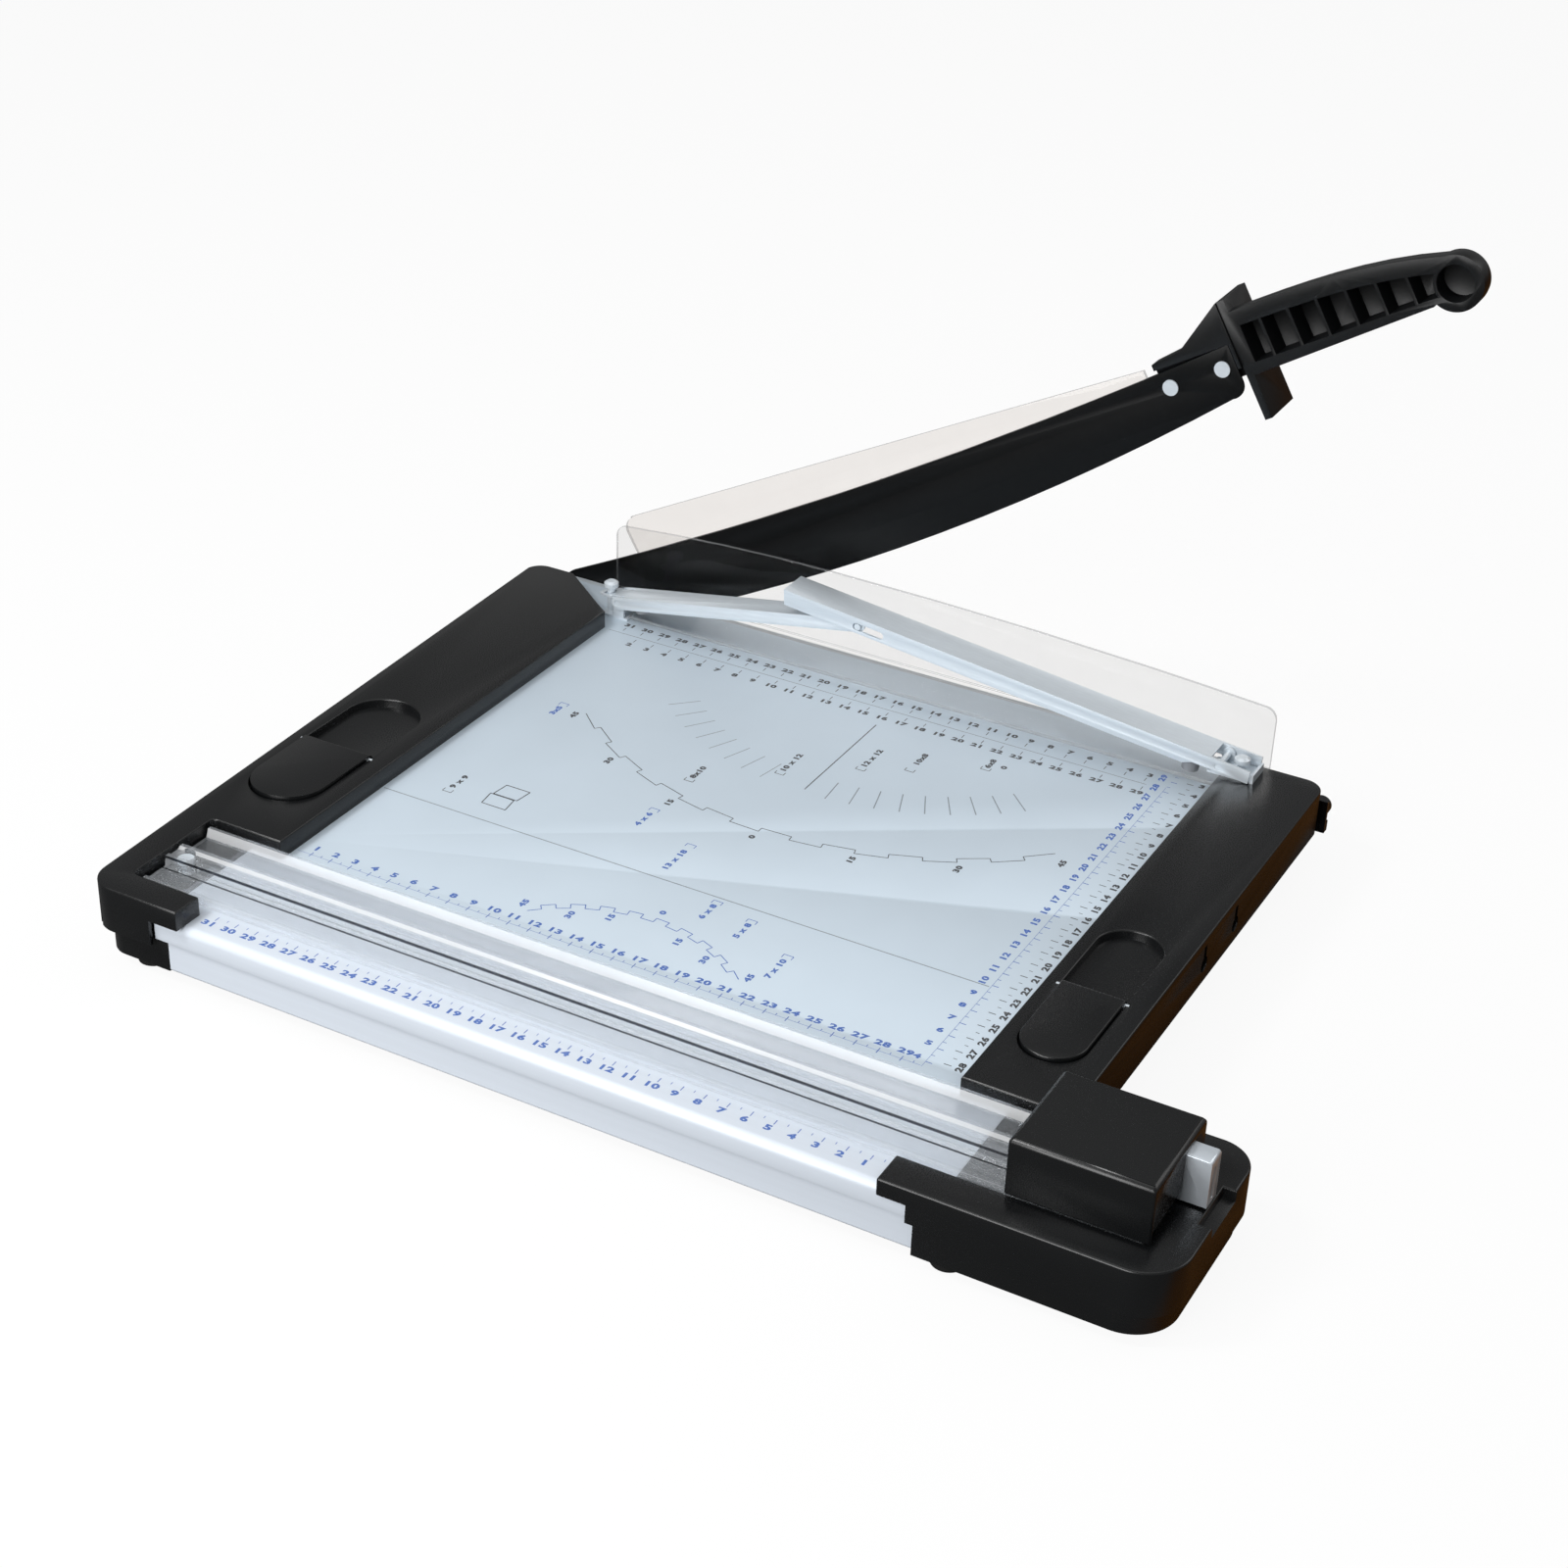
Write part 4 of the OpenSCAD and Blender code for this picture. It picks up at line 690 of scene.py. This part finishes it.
class Sheet:
    """Thin print on the table or the profile, gathered into one mesh."""

    def __init__(self, settings):
        self.form = bmesh.new()
        self.size = settings.figure_height
        self.width = settings.line_width

    def bar(self, start, end, share=1.0):
        """A printed line between two points, as wide as a share of the line width."""
        run = Vector(end) - Vector(start)
        middle = (Vector(start) + Vector(end)) / 2
        place = Matrix.Translation(at(middle.x, middle.y, PRINT_LIFT_MM))
        turn = Matrix.Rotation(math.atan2(run.y, run.x), 4, "Z")
        scale = Matrix.Diagonal((run.length * MM, self.width * share * MM, PRINT_THICK_MM * MM, 1))
        bmesh.ops.create_cube(self.form, size=1.0, matrix=place @ turn @ scale)

    def number(self, text, x, y, share=1.0, turn=0.0):
        """A printed number centred on a point, in wide bold figures."""
        curve = bpy.data.curves.new("figure", "FONT")
        curve.body = text
        curve.size = self.size * share * MM * FIGURE_SCALE
        curve.space_character = FIGURE_SPACING
        curve.offset = FIGURE_BOLD_MM * MM
        curve.align_x = "CENTER"
        curve.align_y = "CENTER"
        curve.resolution_u = 2
        curve.extrude = PRINT_THICK_MM / 2 * MM
        holder = bpy.data.objects.new("figure", curve)
        mesh = bpy.data.meshes.new_from_object(holder)
        place = Matrix.Translation(at(x, y, PRINT_LIFT_MM))
        turned = Matrix.Rotation(math.radians(turn), 4, "Z")
        mesh.transform(place @ turned @ Matrix.Diagonal((FIGURE_WIDTH, 1, 1, 1)))
        self.form.from_mesh(mesh)
        bpy.data.objects.remove(holder)
        bpy.data.curves.remove(curve)
        bpy.data.meshes.remove(mesh)

    def path(self, points, share=1.0):
        """Printed lines from point to point."""
        for start, end in zip(points, points[1:]):
            self.bar(start, end, share)

    def scale(self, row, counts):
        """The figures and ticks of a scale."""
        for n in counts:
            middle = row.zero + row.pitch * n
            turn = QUARTER_DEG if row.upright and n >= TURNED_FROM else 0
            figure = row.point(middle + row.figure_shift, row.figure_row)
            self.number(str(n), *figure, row.figure_share, turn)
            tick = middle + row.tick_shift
            self.bar(*(row.point(tick, across) for across in row.tick), row.tick_width)
            if row.half_tick:
                half = tick + CM_IN_MM / 2
                self.bar(*(row.point(half, across) for across in row.half_tick), HALF_TICK_WIDTH)

    def sheet_size(self, text, x, y, end, opening):
        """A sheet size's figures, with a bracket that opens to one side."""
        left, right, lip = x - BRACKET_HALF_MM, x + BRACKET_HALF_MM, end + opening * BRACKET_LIP_MM
        self.number(text, x, y, SMALL_FIGURE, QUARTER_DEG)
        self.path(((left, lip), (left, end), (right, end), (right, lip)), MARK_LINE)

    def stepped_arc(self, centre, radii, facing):
        """An arc of equal steps that swaps between two radii."""
        for k in range(ARC_STEPS):
            radius, angle = radii[k % 2], ARC_FROM_DEG + ARC_STEP_DEG * k
            start = ray(centre, radius, angle, facing)
            end = ray(centre, radius, angle + ARC_STEP_DEG, facing)
            self.bar(start, end, ARC_LINE)
            if k < ARC_STEPS - 1:
                step = ray(centre, radii[(k + 1) % 2], angle + ARC_STEP_DEG, facing)
                self.bar(end, step, ARC_LINE)

    def angle_figure(self, centre, radius, angle, facing):
        """The figure of an angle beside its arc."""
        spot = ray(centre, radius, angle, facing)
        self.number(str(abs(angle)), *spot, SMALL_FIGURE, QUARTER_DEG)

    def piece(self, name, finish, slot):
        """The print as a piece on the base."""
        mesh = bpy.data.meshes.new(name)
        self.form.to_mesh(mesh)
        self.form.free()
        return link(name, mesh, finish, "base")


def print_ruler(settings):
    """The front ruler on the profile."""
    ruler = Sheet(settings)
    ruler.scale(FRONT_RULER, range(1, settings.ruler_count + 1))
    ruler.piece("front_ruler_print", "blue_ink", "profile")


def print_blue(settings):
    """The blue scales, sizes and angles, which belong to the rotary cutter."""
    blue = Sheet(settings)
    right, front = BLUE_CORNER_MM
    blue.scale(FRONT_SCALE, FRONT_COUNTS)
    blue.bar((BASE_LINE_FROM_MM, front), BLUE_CORNER_MM, FINE_LINE)
    blue.scale(BLUE_SIDE_SCALE, BLUE_SIDE_COUNTS)
    blue.bar(BLUE_CORNER_MM, (right, BLUE_SIDE_END_MM), FINE_LINE)
    blue.stepped_arc(ROTARY_MIDDLE_MM, ROTARY_ARC_MM, 1)
    for angle, radius in ROTARY_ANGLES:
        blue.angle_figure(ROTARY_MIDDLE_MM, radius, angle, 1)
    for mark in BLUE_SIZES:
        blue.sheet_size(*mark, -1)
    blue.piece("blue_scale_print", "blue_ink", "pan")


def print_black(settings):
    """The black scales, sizes and angles, which belong to the blade."""
    black = Sheet(settings)
    black.scale(BLACK_SIDE_SCALE, BLACK_SIDE_COUNTS)
    black.scale(BACK_ROW, BACK_COUNTS)
    black.scale(SECOND_ROW, SECOND_COUNTS)
    black.bar(*BACK_LINE_MM, THIN_LINE)
    black.stepped_arc(BLADE_MIDDLE_MM, BLADE_ARC_MM, -1)
    for angle in BLADE_ANGLES:
        black.angle_figure(BLADE_MIDDLE_MM, BLADE_FIGURE_ROW_MM, angle, -1)
    black.bar(*SQUARE_LINE_MM)
    for mark in BLACK_SIZES:
        black.sheet_size(*mark, 1)
    black.number("0", *ZERO_MARK_MM, SMALL_FIGURE, QUARTER_DEG)
    spine, outer = BOOKLET_MM
    for y0, y1, lean in BOOKLET_PAGES_MM:
        black.path(
            ((spine, y0), (spine + lean, y1), (outer + lean, y1), (outer, y0), (spine, y0))
        )
    black.piece("black_scale_print", "black_ink", "pan")


def print_grey(settings):
    """The fan of lines under the blade and the line across the bed."""
    grey = Sheet(settings)
    for angle in FAN_ANGLES:
        ends = (ray(BLADE_MIDDLE_MM, radius, angle, -1) for radius in FAN_MM)
        grey.bar(*ends, BOLD_LINE if angle > 0 else ARC_LINE)
    grey.bar(*MIDDLE_LINE_MM, BOLD_LINE)
    grey.piece("grey_line_print", "grey_ink", "pan")


# Stage


def seen_straight(tree):
    """One for rays from the camera, also through clear parts, and nought for the others."""
    path = tree.nodes.new("ShaderNodeLightPath")
    straight, through = path.outputs["Is Camera Ray"], path.outputs["Is Transmission Ray"]
    return worked(tree, "MAXIMUM", straight, through)


def floor_bounce(tree):
    """What the floor throws back: neutral in front, and warm brown at the trimmer's right."""
    place = place_in_scene(tree)
    rightward = remap(tree, place["X"], [at(x, 0, 0).x for x in WARM_FROM_MM])
    backward = remap(tree, place["Y"], [at(0, y, 0).y for y in WARM_FRONT_MM])
    bounce = mixed(tree, worked(tree, "MULTIPLY", rightward, backward))
    bounce.inputs["A"].default_value = FLOOR_BOUNCE
    bounce.inputs["B"].default_value = WARM_BOUNCE
    return bounce.outputs["Result"]


def floor_paper():
    """Paper that looks white from the camera, keeps the trimmer's shadow and throws little back."""
    made = bpy.data.materials.new("floor_paper")
    made.use_nodes = True
    tree = made.node_tree
    tree.nodes.clear()
    output = tree.nodes.new("ShaderNodeOutputMaterial")
    paper = tree.nodes.new("ShaderNodeBsdfDiffuse")
    shade = mixed(tree, seen_straight(tree))
    shade.inputs["B"].default_value = FLOOR_PAPER
    tree.links.new(floor_bounce(tree), shade.inputs["A"])
    tree.links.new(shade.outputs["Result"], paper.inputs["Color"])
    glow = tree.nodes.new("ShaderNodeEmission")
    glow.inputs["Color"].default_value = WHITE
    glow.inputs["Strength"].default_value = 1.0
    blend = tree.nodes.new("ShaderNodeMixShader")
    tree.links.new(worked(tree, "MULTIPLY", seen_straight(tree), FLOOR_GLOW), blend.inputs["Fac"])
    tree.links.new(paper.outputs["BSDF"], blend.inputs[1])
    tree.links.new(glow.outputs["Emission"], blend.inputs[2])
    tree.links.new(blend.outputs["Shader"], output.inputs["Surface"])
    return made


def add_floor(scene):
    """The floor under the trimmer."""
    mesh = bpy.data.meshes.new("floor")
    with editing(mesh) as form:
        bmesh.ops.create_grid(form, x_segments=1, y_segments=1, size=FLOOR_SIZE)
    mesh.materials.append(floor_paper())
    floor = bpy.data.objects.new("floor", mesh)
    scene.collection.objects.link(floor)


def add_sky(scene):
    """A dim sky that looks white from the camera."""
    world = bpy.data.worlds.new("studio")
    scene.world = world
    world.use_nodes = True
    tree = world.node_tree
    sky = tree.nodes["Background"]
    sky.inputs["Color"].default_value = WHITE
    strength = remap(tree, seen_straight(tree), (0, 1), (SKY_LEVEL, 1.0))
    tree.links.new(strength, sky.inputs["Strength"])


def add_lamps(scene):
    """Soft lamps that face the trimmer."""
    for name, place, width, power in LAMPS:
        lamp = bpy.data.lights.new(name, "AREA")
        lamp.size = width
        lamp.energy = power
        holder = bpy.data.objects.new(name, lamp)
        holder.location = place
        holder.rotation_euler = (-Vector(place)).to_track_quat("-Z", "Y").to_euler()
        scene.collection.objects.link(holder)


def add_camera(scene):
    """The camera, turned by its azimuth, elevation and roll."""
    azimuth, elevation, roll = map(math.radians, (AZIMUTH_DEG, ELEVATION_DEG, ROLL_DEG))
    level = math.cos(elevation)
    across = Vector((math.cos(azimuth), math.sin(azimuth), 0))
    back = Vector((math.sin(azimuth) * level, -math.cos(azimuth) * level, math.sin(elevation)))
    upward = back.cross(across)
    side = math.cos(roll) * across + math.sin(roll) * upward
    top = math.cos(roll) * upward - math.sin(roll) * across
    spot = at(*CAMERA_SPOT_MM)
    camera = bpy.data.cameras.new("camera")
    camera.sensor_fit = "HORIZONTAL"
    camera.sensor_width = SENSOR_MM
    camera.lens = FOCAL_PX / PICTURE_PX * SENSOR_MM
    camera.clip_start = CLIP_START
    holder = bpy.data.objects.new("camera", camera)
    holder.matrix_world = Matrix((
        (side.x, top.x, back.x, spot.x),
        (side.y, top.y, back.y, spot.y),
        (side.z, top.z, back.z, spot.z),
        (0, 0, 0, 1),
    ))
    scene.collection.objects.link(holder)
    scene.camera = holder


# Add-on


def color_setting(name, description, default):
    """A colour that the panel shows."""
    return FloatVectorProperty(
        name=name, description=description, subtype="COLOR", size=3, min=0, max=1, default=default,
    )


class TrimmerLooks(bpy.types.PropertyGroup):
    """Colours of the trimmer's finishes."""

    shell_color: color_setting(
        "Moulding colour", "Black of the frames, block and handle", (0.0045, 0.005, 0.0055),
    )
    bed_color: color_setting("Bed colour", "Paint of the table plate", (0.62, 0.715, 0.8))
    steel_color: color_setting(
        "Plating colour", "Zinc plate of the levers and small parts", (0.68, 0.74, 0.79),
    )
    ink_color: color_setting("Blue ink", "Ink of the blue scales", (0.03, 0.12, 0.45))


class TrimmerPrint(bpy.types.PropertyGroup):
    """Sizes of the printed scales."""

    figure_height: FloatProperty(
        name="Figure height", description="Height of the scales' numbers in millimetres",
        default=3.2, min=1.5, max=5,
    )
    line_width: FloatProperty(
        name="Line width", description="Width of the printed lines in millimetres",
        default=0.5, min=0.2, max=1,
    )
    ruler_count: IntProperty(
        name="Ruler length", description="Centimetres on the front ruler",
        default=31, min=19, max=32,
    )


class TRIMMER_OT_mouldings(bpy.types.Operator):
    """Round the edges of the moulded and sheet parts and give every part its finish"""

    bl_idname = "trimmer.mouldings"
    bl_label = "Moulded and metal parts"

    def execute(self, context):
        make_finishes(context.scene.trimmer_looks)
        for node, piece in NODES.items():
            piece.data.materials.clear()
            piece.data.materials.append(FINISHES[SLOTS[node]])
        for node, (radius, rim) in RIMMED_MM.items():
            eased(node, radius, rim=rim)
        for node, radius in ROUNDED_MM.items():
            eased(node, radius)
        darken_corner(eased("table_plate", PLATE_ROUND_MM))
        shortened("rail_springs", RAIL_TRAVEL_MM)
        darken_rim(eased("guard_shield", SHEET_ROUND_MM), at(0, 0, SHIELD_FOOT_TOP_MM).z)
        darken_rim(eased("arm_guard", SHEET_ROUND_MM, finish="clear_warm"))
        crests(eased("clear_rail", RAIL_ROUND_MM, "rail_wings", "rail_edges", finish="clear_rail"))
        return {"FINISHED"}


class TRIMMER_OT_prints(bpy.types.Operator):
    """Print the scales, sheet sizes and angle marks on the bed and the front profile"""

    bl_idname = "trimmer.prints"
    bl_label = "Printed scales"

    def execute(self, context):
        for print_part in (print_ruler, print_blue, print_black, print_grey):
            print_part(context.scene.trimmer_print)
        return {"FINISHED"}


class TRIMMER_OT_stage(bpy.types.Operator):
    """Set the pale floor, the soft lamps and the camera"""

    bl_idname = "trimmer.stage"
    bl_label = "Floor, lamps and camera"

    def execute(self, context):
        scene = context.scene
        for add_part in (add_floor, add_sky, add_lamps, add_camera):
            add_part(scene)
        scene.view_settings.view_transform = "Standard"
        return {"FINISHED"}


OPERATORS = (TRIMMER_OT_mouldings, TRIMMER_OT_prints, TRIMMER_OT_stage)


class TRIMMER_PT_panel(bpy.types.Panel):
    """Lists the trimmer's settings and its operators"""

    bl_idname = "TRIMMER_PT_panel"
    bl_label = "Paper trimmer"
    bl_space_type = "VIEW_3D"
    bl_region_type = "UI"
    bl_category = "Trimmer"

    def draw(self, context):
        for group in (context.scene.trimmer_looks, context.scene.trimmer_print):
            for name in group.__annotations__:
                self.layout.prop(group, name)
        for operator in OPERATORS:
            self.layout.operator(operator.bl_idname)


CLASSES = (TrimmerLooks, TrimmerPrint, *OPERATORS, TRIMMER_PT_panel)


def register():
    """Add the settings, the operators and the panel."""
    for cls in CLASSES:
        bpy.utils.register_class(cls)
    bpy.types.Scene.trimmer_looks = PointerProperty(type=TrimmerLooks)
    bpy.types.Scene.trimmer_print = PointerProperty(type=TrimmerPrint)


def unregister():
    """Take them out again."""
    del bpy.types.Scene.trimmer_looks
    del bpy.types.Scene.trimmer_print
    for cls in reversed(CLASSES):
        bpy.utils.unregister_class(cls)


def main():
    """Dress the trimmer through the operators."""
    register()
    bpy.ops.trimmer.mouldings()
    bpy.ops.trimmer.prints()
    bpy.ops.trimmer.stage()
    bpy.context.view_layer.update()


if __name__ == "__main__":
    main()
